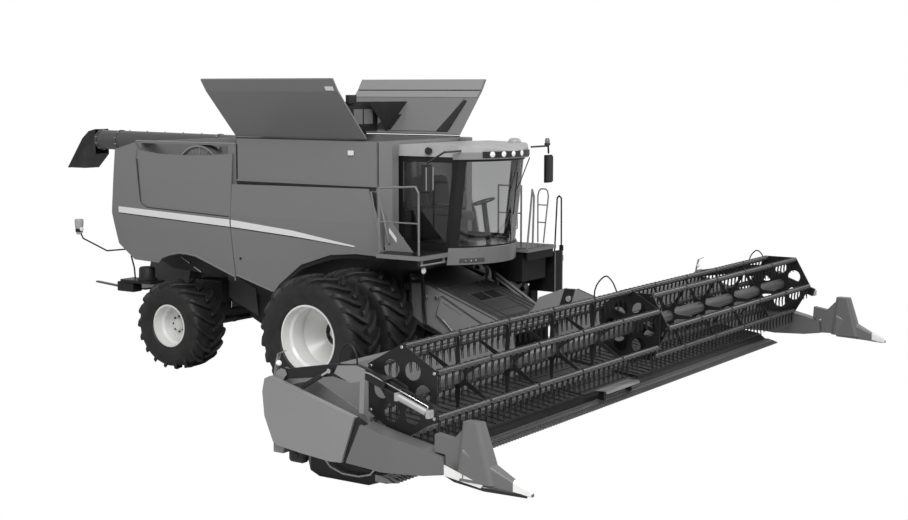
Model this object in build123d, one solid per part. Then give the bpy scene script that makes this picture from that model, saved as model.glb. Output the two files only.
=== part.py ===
"""Combine harvester with a draper header, lowered and parked.

Lengths are in millimetres. While the pieces are made, Y is counted from the middle of the front wheel
arches, with the machine facing -Y, its left side at +X and Z up from the ground. save() moves every
piece by ORIGIN_Y, so that the finished machine's box is centred on the origin.
"""
from build123d import *
from math import atan2, cos, hypot, radians, sin
import os

os.makedirs("parts", exist_ok=True)

# ---- driving dimensions -------------------------------------------------------------------------
ORIGIN_Y = -1467.5          # shift into the finished frame
FRONT_AXLE_Y = -420.0
WHEELBASE = 3760.0
REAR_AXLE_Y = FRONT_AXLE_Y + WHEELBASE
FRONT_TYRE_R = 1020.0       # 710/70R42 duals
FRONT_TYRE_W = 740.0
FRONT_RIM_R = 532.0
DUAL_X = (1355.0, 2355.0)   # centres of the inner and the outer tyre
REAR_TYRE_R = 800.0         # 750/65R28
REAR_TYRE_W = 750.0
REAR_RIM_R = 362.0
REAR_TYRE_X = 1657.0
BEAD_SHARE = 0.80           # width over the beads against the tyre's width
KINGPIN_X = 1180.0

BODY_X = 1380.0             # half width of the grain tank
PANEL_X = 1455.0            # half width over the side panels
PANEL_T = 34.0
TANK_FRONT_Y = -840.0
TANK_REAR_Y = 2190.0
TANK_SEAM_Z = 3370.0
TANK_TOP_Z = 4120.0
SEAM_Y = 2290.0             # between front and rear side panels
REAR_Y = 5200.0

COVER_HINGE_Z = 4150.0
COVER_LENGTH = 1300.0
COVER_OPEN = 133.0          # degrees from lying flat inwards
COVER_Y = (-620.0, 2220.0)

AUGER_X = 1630.0
AUGER_Y = 1000.0            # swing axis
AUGER_Z = 3790.0
AUGER_R = 205.0
AUGER_END_Y = 8850.0
AUGER_RISE = 90.0           # from the swing axis to the spout

CAB_X = 950.0
CAB_REAR_Y = -900.0
CAB_PILLAR_Y = -1990.0
CAB_NOSE_Y = -2440.0
CAB_FLOOR_Z = 2420.0
CAB_ROOF_Z = 3880.0
CAB_LEAN = 170.0            # how far the windscreen's top stands forward of its foot

FEEDER_X = 720.0
FEEDER_PIVOT = (-980.0, 1700.0)     # y, z
FEEDER_FRONT_Y = -2800.0
CYLINDER_X = 430.0
CYLINDER_FOOT = (-500.0, 700.0)     # y, z on the axle
CYLINDER_EYE = (-2300.0, 590.0)     # y, z under the feeder house

HEADER_X = 6420.0
HEADER_TOP_Z = 1250.0
KNIFE_Y = -4710.0
REEL_X = 6100.0                     # outer end plates
REEL_CENTRE = (-4800.0, 1270.0)     # y, z
REEL_R = 560.0
BAT_R = 24.0
ARM_PIVOT = (-3060.0, 1340.0)
ARM_KNEE = (-4400.0, 1548.0)        # where an arm's straight front section starts
ARM_SLOPE = 18.9                    # degrees below level, from the knee to the tip
ARM_X = 6280.0


# ---- small makers --------------------------------------------------------------------------------
def block(x0, x1, y0, y1, z0, z1):
    """Box from its two corners."""
    made = Box(x1 - x0, y1 - y0, z1 - z0)
    return Pos((x0 + x1) / 2, (y0 + y1) / 2, (z0 + z1) / 2) * made


def side_profile(points, x0, x1):
    """Closed outline of (y, z) points, drawn out along X from x0 to x1."""
    face = make_face(Plane.YZ * Polyline(*points, close=True))
    return Pos(x0, 0, 0) * extrude(face, amount=x1 - x0, dir=(1, 0, 0))


def plan_profile(points, z0, z1):
    """Closed outline of (x, y) points, drawn out along Z from z0 to z1."""
    face = make_face(Polyline(*points, close=True))
    return Pos(0, 0, z0) * extrude(face, amount=z1 - z0, dir=(0, 0, 1))


def front_profile(points, y0, y1):
    """Closed outline of (x, z) points, drawn out along Y from y0 to y1."""
    flat = [(x, 0, z) for x, z in points]
    face = make_face(Polyline(*flat, close=True))
    return Pos(0, y0, 0) * extrude(face, amount=y1 - y0, dir=(0, 1, 0))


def bar(start, end, radius):
    """Round bar between two points."""
    a, b = Vector(*start), Vector(*end)
    place = Plane(origin=a, z_dir=b - a)
    return extrude(place * Circle(radius), amount=(b - a).length)


def beam(start, end, wide, deep):
    """Rectangular bar between two points, wide along X where it can be."""
    a, b = Vector(*start), Vector(*end)
    along = (b - a).normalized()
    across = Vector(1, 0, 0) if abs(along.X) < 0.9 else Vector(0, 1, 0)
    place = Plane(origin=a, x_dir=across - along * across.dot(along), z_dir=along)
    return extrude(place * Rectangle(wide, deep), amount=(b - a).length)


def rail(points, radius):
    """Bent tube through points: straight bars with a ball at each corner."""
    runs = [bar(a, b, radius) for a, b in zip(points, points[1:])]
    balls = [Pos(*p) * Sphere(radius) for p in points[1:-1]]
    return fuse(*runs, *balls)


def disc(x0, x1, y, z, radius):
    """Round disc or drum with its axis along X."""
    place = Plane(origin=(x0, y, z), z_dir=(1, 0, 0))
    return extrude(place * Circle(radius), amount=x1 - x0)


def turned(points, y, z):
    """Closed (x, r) outline turned about the X axis through (y, z)."""
    face = make_face(Polyline(*[(x, 0, r) for x, r in points], close=True))
    return Pos(0, y, z) * revolve(face, Axis.X)


def fuse(first, *rest):
    """One solid made of all that are given, which touch or overlap."""
    return first.fuse(*rest) if rest else first


def other_side(shape):
    """The same piece on the machine's right."""
    return mirror(shape, about=Plane.YZ)


def save(name, *shapes):
    """Writes one node, moved to the finished frame."""
    solids = []
    for shape in shapes:
        solids += list(shape.solids())
    whole = Compound(children=solids) if len(solids) > 1 else solids[0]
    export_step(Pos(0, ORIGIN_Y, 0) * whole, f"parts/{name}.step")


# ---- wheels ------------------------------------------------------------------------------------------
def tyre(x, y, z, radius, bead_r, width):
    """Tyre round an axis along X: crowned tread, bulged walls, beads at the rim."""
    h = width / 2
    wall = bead_r + (radius - bead_r) * 0.5
    crown = radius * 0.975
    bead = h * BEAD_SHARE
    with BuildSketch(Plane.XZ) as section:
        with BuildLine():
            Polyline((-bead, bead_r + 24), (-bead, bead_r), (bead, bead_r), (bead, bead_r + 24))
            ThreePointArc((bead, bead_r + 24), (h, wall), (h * 0.86, crown))
            ThreePointArc((h * 0.86, crown), (0, radius), (-h * 0.86, crown))
            ThreePointArc((-h * 0.86, crown), (-h, wall), (-bead, bead_r + 24))
        make_face()
    return Pos(x, y, z) * revolve(section.sketch, Axis.X)


def rim(x, y, z, bead_r, width):
    """Rolled rim barrel: bead seats and flanges either side of a drop centre."""
    seat = width * BEAD_SHARE / 2 + 3
    barrel = turned(
        [
            (-seat - 16, bead_r - 12), (-seat - 16, bead_r + 17), (-seat, bead_r + 17), (-seat, bead_r - 2),
            (-seat * 0.4, bead_r - 2), (-seat * 0.3, bead_r - 40), (seat * 0.3, bead_r - 40),
            (seat * 0.4, bead_r - 2), (seat, bead_r - 2), (seat, bead_r + 17), (seat + 16, bead_r + 17),
            (seat + 16, bead_r - 12), (seat * 0.5, bead_r - 16), (seat * 0.38, bead_r - 54),
            (-seat * 0.38, bead_r - 54), (-seat * 0.5, bead_r - 16),
        ],
        y, z,
    )
    return Pos(x, 0, 0) * barrel


def dish(x_rim, x_hub, y, z, rim_r, hub_r, thick):
    """Dished wheel disc from the barrel at x_rim to the hub face at x_hub, with its flat centre."""
    return turned(
        [(x_rim, rim_r), (x_rim + thick, rim_r), (x_hub + thick, hub_r), (x_hub + thick, 60),
         (x_hub, 60), (x_hub, hub_r)],
        y, z,
    )


def hand_holes(y, z, reach, radius, x0, x1):
    """Pair of cutters for the two holes in a wheel disc, reach out from its axis."""
    places = [(y + side * reach * cos(HOLE_TURN), z + side * reach * sin(HOLE_TURN)) for side in (-1, 1)]
    return [disc(x0, x1, *place, radius) for place in places]


HOLE_TURN = radians(70)     # of the holes' line, up from level
AXLE_Z, REAR_Z = FRONT_TYRE_R, REAR_TYRE_R
inner_x, outer_x = DUAL_X
front_tyres = [tyre(x, FRONT_AXLE_Y, AXLE_Z, FRONT_TYRE_R, FRONT_RIM_R, FRONT_TYRE_W) for x in DUAL_X]
# rims: the inner disc sits on the hub, and a drum carries the outer, deep-dished one
inner_face, outer_face = 1420.0, 1890.0
front_rims = fuse(
    rim(inner_x, FRONT_AXLE_Y, AXLE_Z, FRONT_RIM_R, FRONT_TYRE_W),
    dish(inner_x - 20, inner_face, FRONT_AXLE_Y, AXLE_Z, FRONT_RIM_R - 45, 270, 22),
    rim(outer_x, FRONT_AXLE_Y, AXLE_Z, FRONT_RIM_R, FRONT_TYRE_W),
    dish(outer_x - 245, outer_face, FRONT_AXLE_Y, AXLE_Z, FRONT_RIM_R - 12, 270, 22),
    turned([(inner_face + 10, 240), (inner_face + 10, 262), (outer_face + 10, 262), (outer_face + 10, 240)],
           FRONT_AXLE_Y, AXLE_Z),
    turned([(875, 0), (875, 170), (inner_face + 5, 170), (inner_face + 5, 95), (outer_face + 60, 95),
            (outer_face + 75, 80), (outer_face + 75, 0)], FRONT_AXLE_Y, AXLE_Z),
)
for cutter in hand_holes(FRONT_AXLE_Y, AXLE_Z, 400, 56, outer_face + 40, outer_face + 205):
    front_rims -= cutter
save("front_left_tyres", *front_tyres)
save("front_right_tyres", *[other_side(t) for t in front_tyres])
save("front_left_rims", front_rims)
save("front_right_rims", other_side(front_rims))

rear_tyre = tyre(REAR_TYRE_X, REAR_AXLE_Y, REAR_Z, REAR_TYRE_R, REAR_RIM_R, REAR_TYRE_W)
rear_face = REAR_TYRE_X + 5
rear_rim = fuse(
    rim(REAR_TYRE_X, REAR_AXLE_Y, REAR_Z, REAR_RIM_R, REAR_TYRE_W),
    dish(REAR_TYRE_X - 20, rear_face, REAR_AXLE_Y, REAR_Z, REAR_RIM_R - 45, 190, 18),
    turned([(rear_face - 100, 0), (rear_face - 100, 110), (rear_face + 30, 110), (rear_face + 70, 80),
            (rear_face + 70, 0)], REAR_AXLE_Y, REAR_Z),
)
for cutter in hand_holes(REAR_AXLE_Y, REAR_Z, 258, 36, rear_face - 30, rear_face + 28):
    rear_rim -= cutter
save("rear_left_tyre", rear_tyre)
save("rear_right_tyre", other_side(rear_tyre))
save("rear_left_rim", rear_rim)
save("rear_right_rim", other_side(rear_rim))

knuckle = fuse(
    bar((KINGPIN_X, REAR_AXLE_Y, REAR_Z - 190), (KINGPIN_X, REAR_AXLE_Y, REAR_Z - 135), 70),
    bar((KINGPIN_X, REAR_AXLE_Y, REAR_Z + 135), (KINGPIN_X, REAR_AXLE_Y, REAR_Z + 190), 70),
    block(KINGPIN_X + 63, KINGPIN_X + 120, REAR_AXLE_Y - 90, REAR_AXLE_Y + 90, REAR_Z - 190, REAR_Z + 190),
    disc(KINGPIN_X + 100, rear_face - 105, REAR_AXLE_Y, REAR_Z, 80),
    block(KINGPIN_X - 20, KINGPIN_X + 40, REAR_AXLE_Y - 330, REAR_AXLE_Y, REAR_Z - 185, REAR_Z - 140),
)
save("rear_left_knuckle", knuckle)
save("rear_right_knuckle", other_side(knuckle))

# ---- axles and frame ---------------------------------------------------------------------------------
final_drive = fuse(
    disc(640, 865, FRONT_AXLE_Y, AXLE_Z, 250),
    side_profile([(FRONT_AXLE_Y - 250, AXLE_Z), (FRONT_AXLE_Y - 190, AXLE_Z + 245),
                  (FRONT_AXLE_Y + 190, AXLE_Z + 245), (FRONT_AXLE_Y + 250, AXLE_Z)], 640, 800),
)
front_axle = fuse(
    beam((-640, FRONT_AXLE_Y, AXLE_Z + 45), (640, FRONT_AXLE_Y, AXLE_Z + 45), 300, 260),
    final_drive, other_side(final_drive),
    *[block(x + edge, x + edge + 30, -560, -100, 640, 960)
      for x in (-CYLINDER_X, CYLINDER_X) for edge in (-100, 70)],
    block(-560, 560, -200, -100, 700, 1000),
)

HITCH_Y, HITCH_Z, HITCH_R, HITCH_T = 4620.0, 720.0, 17.0, 30.0
hitch_plate = plan_profile(
    [(-220, REAR_AXLE_Y + 90), (220, REAR_AXLE_Y + 90), (60, 4300), (60, 4690), (-60, 4690), (-60, 4300)],
    HITCH_Z - HITCH_T / 2, HITCH_Z + HITCH_T / 2,
) - Pos(0, HITCH_Y, HITCH_Z) * Cylinder(HITCH_R, 2 * HITCH_T)
rear_axle = fuse(
    beam((-1100, REAR_AXLE_Y, REAR_Z), (1100, REAR_AXLE_Y, REAR_Z), 200, 220),
    bar((KINGPIN_X, REAR_AXLE_Y, REAR_Z - 130), (KINGPIN_X, REAR_AXLE_Y, REAR_Z + 130), 57),
    bar((-KINGPIN_X, REAR_AXLE_Y, REAR_Z - 130), (-KINGPIN_X, REAR_AXLE_Y, REAR_Z + 130), 57),
    block(-KINGPIN_X, KINGPIN_X, REAR_AXLE_Y - 60, REAR_AXLE_Y + 60, REAR_Z - 100, REAR_Z + 100),
    bar((-860, REAR_AXLE_Y - 170, REAR_Z - 60), (860, REAR_AXLE_Y - 170, REAR_Z - 60), 38),
    block(-130, 130, REAR_AXLE_Y - 200, REAR_AXLE_Y + 200, REAR_Z + 90, REAR_Z + 240),
    block(-520, -440, REAR_AXLE_Y - 200, REAR_AXLE_Y - 80, REAR_Z - 100, REAR_Z - 20),
    block(440, 520, REAR_AXLE_Y - 200, REAR_AXLE_Y - 80, REAR_Z - 100, REAR_Z - 20),
    hitch_plate,
)
save("rear_axle", rear_axle)

frame_rail = side_profile(
    [(-620, 1198), (-620, 1308), (1400, 1308), (2480, 1300), (3000, 1540), (4000, 1540), (4000, 1180),
     (3300, 1180), (2600, 1100), (1400, 1198)],
    330, 450,
)
main_frame = fuse(
    frame_rail, other_side(frame_rail),
    block(-335, 335, -600, -480, 1200, 1300),
    block(-335, 335, 1500, 1620, 1200, 1300),
    block(-335, 335, REAR_AXLE_Y - 120, REAR_AXLE_Y + 120, 1185, 1380),
    block(-120, 120, REAR_AXLE_Y - 110, REAR_AXLE_Y + 110, REAR_Z + 242, 1190),
)
save("main_frame", main_frame, front_axle)

threshing_housing = side_profile(
    [(-890, 1312), (-890, 2280), (2200, 2280), (4690, 2540), (4690, 1760), (4400, 1640), (2980, 1560),
     (2470, 1312)],
    -780, 780,
)
cleaning_shoe = side_profile([(650, 1330), (2300, 1330), (2540, 1250), (2500, 880), (2200, 740), (1000, 740),
                              (650, 1050)], 460, 740)
save("threshing_housing", fuse(threshing_housing, cleaning_shoe, other_side(cleaning_shoe)))

save("engine", block(-500, 500, 2450, 3700, 2600, 3390))

# ---- grain tank --------------------------------------------------------------------------------------
def tank_body(inset):
    """Square upper band over a hopper that narrows to its floor."""
    half, front, rear = BODY_X - inset, TANK_FRONT_Y + inset, TANK_REAR_Y - inset
    middle = (front + rear) / 2
    band = block(-half, half, front, rear, 3300, TANK_TOP_Z + (50 if inset else 0))
    floor_z = 2350 + inset
    top = Plane(origin=(0, middle, 3300)) * Rectangle(2 * half, rear - front)
    foot = Plane(origin=(0, middle, floor_z)) * Rectangle(1100 - 2 * inset, rear - front - 500)
    hopper = loft([foot, top], ruled=True)
    return fuse(band, hopper)


grain_tank = tank_body(0) - tank_body(26)
front_sheet = block(-BODY_X, BODY_X, TANK_FRONT_Y - 30, TANK_FRONT_Y, 2420, 3360)
corner = plan_profile(
    [(BODY_X, TANK_FRONT_Y + 170), (BODY_X, TANK_FRONT_Y - 10), (1180, -1010), (1010, -1010),
     (1010, TANK_FRONT_Y - 30), (1150, TANK_FRONT_Y - 30)], 2400, TANK_TOP_Z)
corner -= plan_profile(
    [(BODY_X - 24, TANK_FRONT_Y + 180), (BODY_X - 24, TANK_FRONT_Y - 22), (1172, -986), (1034, -986),
     (1034, TANK_FRONT_Y - 20), (1034, TANK_FRONT_Y + 180)], 2300, TANK_TOP_Z - 24)
corner -= block(900, BODY_X + 10, TANK_FRONT_Y - 29, TANK_FRONT_Y + 200, 2300, TANK_TOP_Z + 10)
rim_band = block(-BODY_X - 14, BODY_X + 14, TANK_FRONT_Y - 14, TANK_REAR_Y + 10,
                 TANK_SEAM_Z + 8, TANK_SEAM_Z + 40)
rim_band -= block(-BODY_X + 5, BODY_X - 5, TANK_FRONT_Y + 5, TANK_REAR_Y - 5,
                  TANK_SEAM_Z, TANK_SEAM_Z + 60)
save("grain_tank", fuse(grain_tank, front_sheet, rim_band, corner, other_side(corner)))

# ---- rear hood with the engine deck --------------------------------------------------------------
SCREEN_DRUM = (3150.0, 3420.0, 560.0)      # y, z and radius of the cooling air screen
hood_outline = [
    (TANK_REAR_Y + 20, 2640), (TANK_REAR_Y + 20, 4010), (4690, 4010), (REAR_Y, 3870), (5260, 2700),
    (5110, 2120), (4800, 2600),
]
rear_hood = side_profile(hood_outline, -BODY_X + 20, BODY_X - 20)
rear_hood -= block(-1000, 1300, TANK_REAR_Y + 60, 4600, 3420, 4100)
rear_hood -= block(-1300, 1300, TANK_REAR_Y + 60, 4600, 2560, 3395)
rear_hood -= block(-1400, -1000, 2420, 4560, 3640, 3985)
screen_drum = disc(-1340, -1120, *SCREEN_DRUM) - disc(-1345, -1300, *SCREEN_DRUM[:2], SCREEN_DRUM[2] - 40)
rear_hood = fuse(rear_hood, screen_drum & block(-1400, -1100, 2400, 4600, 3400, 3984))
save("rear_hood", rear_hood)

chopper = side_profile(
    [(4150, 1600), (4420, 1620), (4710, 1750), (4710, 2050), (5080, 2080), (5250, 1500), (5000, 1080),
     (4300, 1120)], -570, 570)
tailboard = plan_profile([(-570, 4800), (-1100, 4800), (-1180, 5250), (-900, 5700), (900, 5700),
                          (1180, 5250), (1100, 4800), (570, 4800)], 1230, 1262)
fork = plan_profile([(1150, 5200), (1180, 5250), (870, 6400), (800, 6400), (1080, 5300)], 1232, 1260)
save("straw_chopper", fuse(chopper, tailboard, fork, other_side(fork)))

# ---- side panels -----------------------------------------------------------------------------------
PANEL_BULGE = [(4100, -60), (3400, -22), (2780, 0), (2440, -4), (2000, -22), (1400, -60)]


def panel_skin():
    """Sheet of a side panel in creased flats, given as z and distance in from PANEL_X."""
    outer_line = [(PANEL_X + dx, z) for z, dx in PANEL_BULGE]
    inner_line = [(x - PANEL_T, z) for x, z in reversed(outer_line)]
    return front_profile(outer_line + inner_line, -2000, 6000)


FRONT_PANEL = [
    (-700, TANK_SEAM_Z - 20), (SEAM_Y - 8, TANK_SEAM_Z - 50), (SEAM_Y + 20, 2620), (SEAM_Y - 60, 1720),
    (1380, 1490), (1240, 1640), (740, 2010), (90, 2220), (-460, 2270), (-1030, 2250), (-910, 2850),
]
REAR_PANEL = [
    (SEAM_Y + 8, 3850), (2900, 3805), (3500, 3790), (4100, 3805), (4580, 3860), (4700, 3990),
    (REAR_Y, 3860), (5270, 2680), (5120, 2120), (4730, 1840), (4130, 1820), (4020, 1920), (3600, 2030),
    (3180, 2000), (2820, 1880), (SEAM_Y - 40, 1680), (SEAM_Y + 36, 2620),
]
# sunk field in the rear panel's upper half, and how deep it lies
FIELD = [(SEAM_Y, 2745), (4330, 2820), (4530, 2940), (4660, 3700), (4560, 4200), (SEAM_Y, 4200)]
FIELD_DEPTH = 16.0
skin = panel_skin()
front_panel = skin & side_profile(FRONT_PANEL, 1300, 1500)
rear_panel = skin & side_profile(REAR_PANEL, 1300, 1500)
rear_panel -= (Pos(PANEL_T - FIELD_DEPTH, 0, 0) * skin) & side_profile(FIELD, 1300, 1500)
LEFT_PANEL_TOP = 3520.0     # the left rear panel passes under the unloading tube
save("left_front_panel", front_panel)
save("right_front_panel", other_side(front_panel))
save("left_rear_panel", rear_panel & block(1200, 1600, 2000, 5400, 1500, LEFT_PANEL_TOP))
save("right_rear_panel", other_side(rear_panel))

# ---- tank covers and end flaps -------------------------------------------------------------------------
COVER_T = 24.0
COVER_LIP = 240.0           # the part beyond the fold
COVER_FOLD = 9.0            # degrees, towards the tank


def tank_cover(side):
    """Folded sheet of an open cover, from its hinge line outwards and up."""
    section = []
    for offset in (0, COVER_T):
        a, b = radians(180 - COVER_OPEN), radians(180 - COVER_OPEN + COVER_FOLD)
        x = BODY_X - 10 - offset * sin(a)
        z = COVER_HINGE_Z + offset * cos(a)
        fold = (x + (COVER_LENGTH - COVER_LIP) * cos(a), z + (COVER_LENGTH - COVER_LIP) * sin(a))
        edge = (fold[0] + COVER_LIP * cos(b), fold[1] + COVER_LIP * sin(b))
        section.append([(x, z), fold, edge])
    outline = section[0] + section[1][::-1]
    return front_profile([(side * x, z) for x, z in outline], *COVER_Y)


save("left_tank_cover", tank_cover(1))
save("right_tank_cover", tank_cover(-1))

SCREEN_Y = 1200.0
screen = front_profile([(-1000, 4150), (1000, 4150), (760, 4680), (-760, 4680)], SCREEN_Y - 12, SCREEN_Y + 12)
save("tank_screen", screen)
rear_flap = front_profile([(-1140, 4150), (1140, 4150), (700, 4800), (-700, 4800)], 2120, 2150)
save("rear_tank_flap", rear_flap)

# ---- unloading auger -------------------------------------------------------------------------------
def auger_run(radius, y0, y1):
    """Stretch of the long tube between two places along Y."""
    slope = AUGER_RISE / (AUGER_END_Y - AUGER_Y)
    z0, z1 = [AUGER_Z + (y - AUGER_Y) * slope for y in (y0, y1)]
    return bar((AUGER_X, y0, z0), (AUGER_X, y1, z1), radius)


auger_tube = fuse(
    auger_run(AUGER_R, AUGER_Y, AUGER_END_Y),
    bar((AUGER_X, AUGER_Y, 3420), (AUGER_X, AUGER_Y, AUGER_Z), AUGER_R),
    Pos(AUGER_X, AUGER_Y, AUGER_Z) * Sphere(AUGER_R),
)
auger_tube -= auger_run(AUGER_R - 8, AUGER_Y, AUGER_END_Y - 30)
auger_tube -= bar((AUGER_X, AUGER_Y, 3430), (AUGER_X, AUGER_Y, AUGER_Z), AUGER_R - 8)
collars = [auger_run(AUGER_R + 16, y - 22, y + 22) - auger_run(AUGER_R - 4, y - 40, y + 40)
           for y in (1330, 5400, 8240, AUGER_END_Y - 30)]
save("unloading_auger", fuse(auger_tube, *collars))

SPOUT_X = (AUGER_X - 195, AUGER_X + 195)
SPOUT_T = 14.0
SPOUT_TOP = [(AUGER_END_Y + 5, 4105), (9050, 4060), (9250, 3905), (9380, 3735), (9735, 3262)]
SPOUT_TOP_IN = [(AUGER_END_Y + 5, 4091), (9045, 4046), (9240, 3895), (9368, 3728), (9722, 3254)]
SPOUT_FOOT = [(AUGER_END_Y + 5, 3560), (9180, 3262)]
SPOUT_FOOT_IN = [(AUGER_END_Y + 5, 3576), (9190, 3272)]


def spout_walls(outside, inside):
    """Wall plates that follow one edge of the spout, between its two cheeks."""
    edges = zip(outside, outside[1:], inside[1:], inside)
    return [side_profile(corners, SPOUT_X[0] + SPOUT_T, SPOUT_X[1] - SPOUT_T) for corners in edges]


cheek_outline = SPOUT_TOP + SPOUT_FOOT[::-1]
save("auger_spout",
     side_profile(cheek_outline, SPOUT_X[0], SPOUT_X[0] + SPOUT_T),
     side_profile(cheek_outline, SPOUT_X[1] - SPOUT_T, SPOUT_X[1]),
     *spout_walls(SPOUT_TOP, SPOUT_TOP_IN), *spout_walls(SPOUT_FOOT, SPOUT_FOOT_IN))

# ---- cab ---------------------------------------------------------------------------------------------
def cab_prism(inset, rear_y, z0, z1):
    """Solid inside the cab's outline: flat sides, square rear, bowed front leaning forward to its top."""
    lean = atan2(CAB_LEAN, CAB_ROOF_Z - CAB_FLOOR_Z)
    place = Plane(origin=(0, CAB_PILLAR_Y, CAB_FLOOR_Z), x_dir=(1, 0, 0), z_dir=(0, -sin(lean), cos(lean)))
    half, nose = CAB_X - inset, CAB_NOSE_Y - CAB_PILLAR_Y + inset
    with BuildSketch() as plan:
        with BuildLine():
            Polyline((-half, 0), (-half, 1800), (half, 1800), (half, 0))
            ThreePointArc((half, 0), (0, nose), (-half, 0))
        make_face()
    tall = Pos(0, 0, -600) * extrude(plan.sketch, amount=2600)
    leaning = place.location * tall
    return leaning & block(-CAB_X, CAB_X, -4000, rear_y, z0, z1)


def cab_shell(inset, thick, z0, z1):
    """Upright wall that follows the cab's outline."""
    return cab_prism(inset, CAB_REAR_Y - inset, z0, z1) - cab_prism(
        inset + thick, CAB_REAR_Y - inset - thick, z0 - 10, z1 + 10)


def side_window(y0, y1, z0, z1):
    """Opening in a side wall whose front edge leans with the pillar."""
    lean0 = (z0 - CAB_FLOOR_Z) / (CAB_ROOF_Z - CAB_FLOOR_Z) * CAB_LEAN
    lean1 = (z1 - CAB_FLOOR_Z) / (CAB_ROOF_Z - CAB_FLOOR_Z) * CAB_LEAN
    return [(y0, z0), (y0, z1), (y1 - lean1, z1), (y1 - lean0, z0)]


WALL = 60.0
base = cab_prism(0, CAB_REAR_Y, 2130, CAB_FLOOR_Z)
walls = cab_shell(0, WALL, CAB_FLOOR_Z, CAB_ROOF_Z)
door_hole = side_window(CAB_REAR_Y - 90, CAB_PILLAR_Y + 90, CAB_FLOOR_Z + 20, CAB_ROOF_Z - 70)
glass_hole = side_window(CAB_REAR_Y - 150, CAB_PILLAR_Y + 100, CAB_FLOOR_Z + 60, CAB_ROOF_Z - 90)
front_hole = block(-CAB_X + 90, CAB_X - 90, -3000, CAB_PILLAR_Y + 20, CAB_FLOOR_Z + 20, CAB_ROOF_Z - 70)
rear_hole = block(-700, 700, CAB_REAR_Y - 200, CAB_REAR_Y + 50, 3000, CAB_ROOF_Z - 120)
cab_body = fuse(base, walls)
cab_body -= side_profile(door_hole, CAB_X - 200, CAB_X + 50)
cab_body -= side_profile(glass_hole, -CAB_X - 50, -CAB_X + 200)
cab_body -= front_hole
cab_body -= rear_hole
save("cab_body", cab_body)

glass_skin = cab_shell(22, 8, CAB_FLOOR_Z + 21, CAB_ROOF_Z - 71)
windscreen = glass_skin & block(-CAB_X + 91, CAB_X - 91, -3000, CAB_PILLAR_Y + 19, CAB_FLOOR_Z, CAB_ROOF_Z)
side_glass = glass_skin & side_profile(
    side_window(CAB_REAR_Y - 151, CAB_PILLAR_Y + 101, CAB_FLOOR_Z + 61, CAB_ROOF_Z - 91),
    -CAB_X - 50, -CAB_X + 200)
rear_glass = block(-699, 699, CAB_REAR_Y - 34, CAB_REAR_Y - 26, 3001, CAB_ROOF_Z - 121)
save("cab_windows", windscreen, side_glass, rear_glass)

with BuildSketch(Plane.XY.offset(CAB_ROOF_Z + 2)) as roof_plan:
    with BuildLine():
        Polyline((-CAB_X - 30, -2190), (-CAB_X - 30, CAB_REAR_Y + 20), (CAB_X + 30, CAB_REAR_Y + 20),
                 (CAB_X + 30, -2190))
        ThreePointArc((CAB_X + 30, -2190), (0, -2660), (-CAB_X - 30, -2190))
    make_face()
roof = extrude(roof_plan.sketch, amount=220) & side_profile(
    [(-880, 3882), (-880, 4060), (-1500, 4085), (-2300, 4065), (-2640, 3985), (-2660, 3900), (-2600, 3882)],
    -CAB_X - 30, CAB_X + 30)
for x in (-354, -118, 118, 354):
    roof -= bar((x, -2700, 3930), (x, -2540, 3930), 45)
save("cab_roof", roof)

door_outline = side_window(CAB_REAR_Y - 96, CAB_PILLAR_Y + 98, CAB_FLOOR_Z + 26, CAB_ROOF_Z - 76)
door_light = side_window(CAB_REAR_Y - 150, CAB_PILLAR_Y + 150, CAB_FLOOR_Z + 80, CAB_ROOF_Z - 130)
cab_door = side_profile(door_outline, CAB_X - 50, CAB_X) - side_profile(door_light, CAB_X - 100, CAB_X + 50)
save("cab_door", cab_door)
save("cab_door_glass", side_profile(
    side_window(CAB_REAR_Y - 151, CAB_PILLAR_Y + 151, CAB_FLOOR_Z + 81, CAB_ROOF_Z - 131),
    CAB_X - 30, CAB_X - 22))

seat = fuse(
    block(-230, 230, -1700, -1230, 2780, 2900),
    side_profile([(-1240, 2850), (-1120, 3480), (-1010, 3480), (-1130, 2850)], -230, 230),
    block(-150, 150, -1600, -1300, CAB_FLOOR_Z + 1, 2790),
    block(-340, -240, -1760, -1250, 2960, 3060), block(-330, -225, -1400, -1300, 2830, 2980),
)
steering = fuse(
    bar((0, -2120, CAB_FLOOR_Z + 8), (0, -2020, 3090), 45),
    Pos(0, -2010, 3110) * (Rot(-20, 0, 0) * Torus(190, 16)),
    bar((-190, -2010, 3110), (190, -2010, 3110), 12),
)
save("cab_interior", seat, steering)

# ---- platforms, rails and ladder ------------------------------------------------------------------
left_deck = plan_profile(
    [(CAB_X + 30, -880), (CAB_X + 30, -2290), (1930, -2290), (1930, -1085), (1350, -1085), (1350, -880)],
    2180, 2240)
right_deck = plan_profile(
    [(-CAB_X - 30, -880), (-CAB_X - 30, -1970), (-1730, -1970), (-1730, -1085), (-1350, -1085),
     (-1350, -880)], 2275, 2345)
RAIL_R = 17.0
left_rails = [
    rail([(1900, -1110, 2240), (1900, -1110, 3250), (1900, -1580, 3250), (1900, -1580, 2240)], RAIL_R),
    rail([(1900, -1900, 2240), (1900, -1910, 3200), (1900, -1980, 3280), (1900, -2110, 3280),
          (1900, -2180, 3150), (1900, -2020, 2240)], RAIL_R),
    rail([(1010, -2250, 2240), (1170, -2250, 3250), (1230, -2250, 3120), (1190, -2250, 2240)], RAIL_R),
]
right_rails = [
    rail([(-1690, -1120, 2345), (-1690, -1120, 3400), (-1690, -1840, 3440), (-1690, -1900, 3340),
          (-1690, -1900, 2345)], RAIL_R),
]
save("access_platform", fuse(left_deck, *left_rails), fuse(right_deck, *right_rails))

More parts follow.
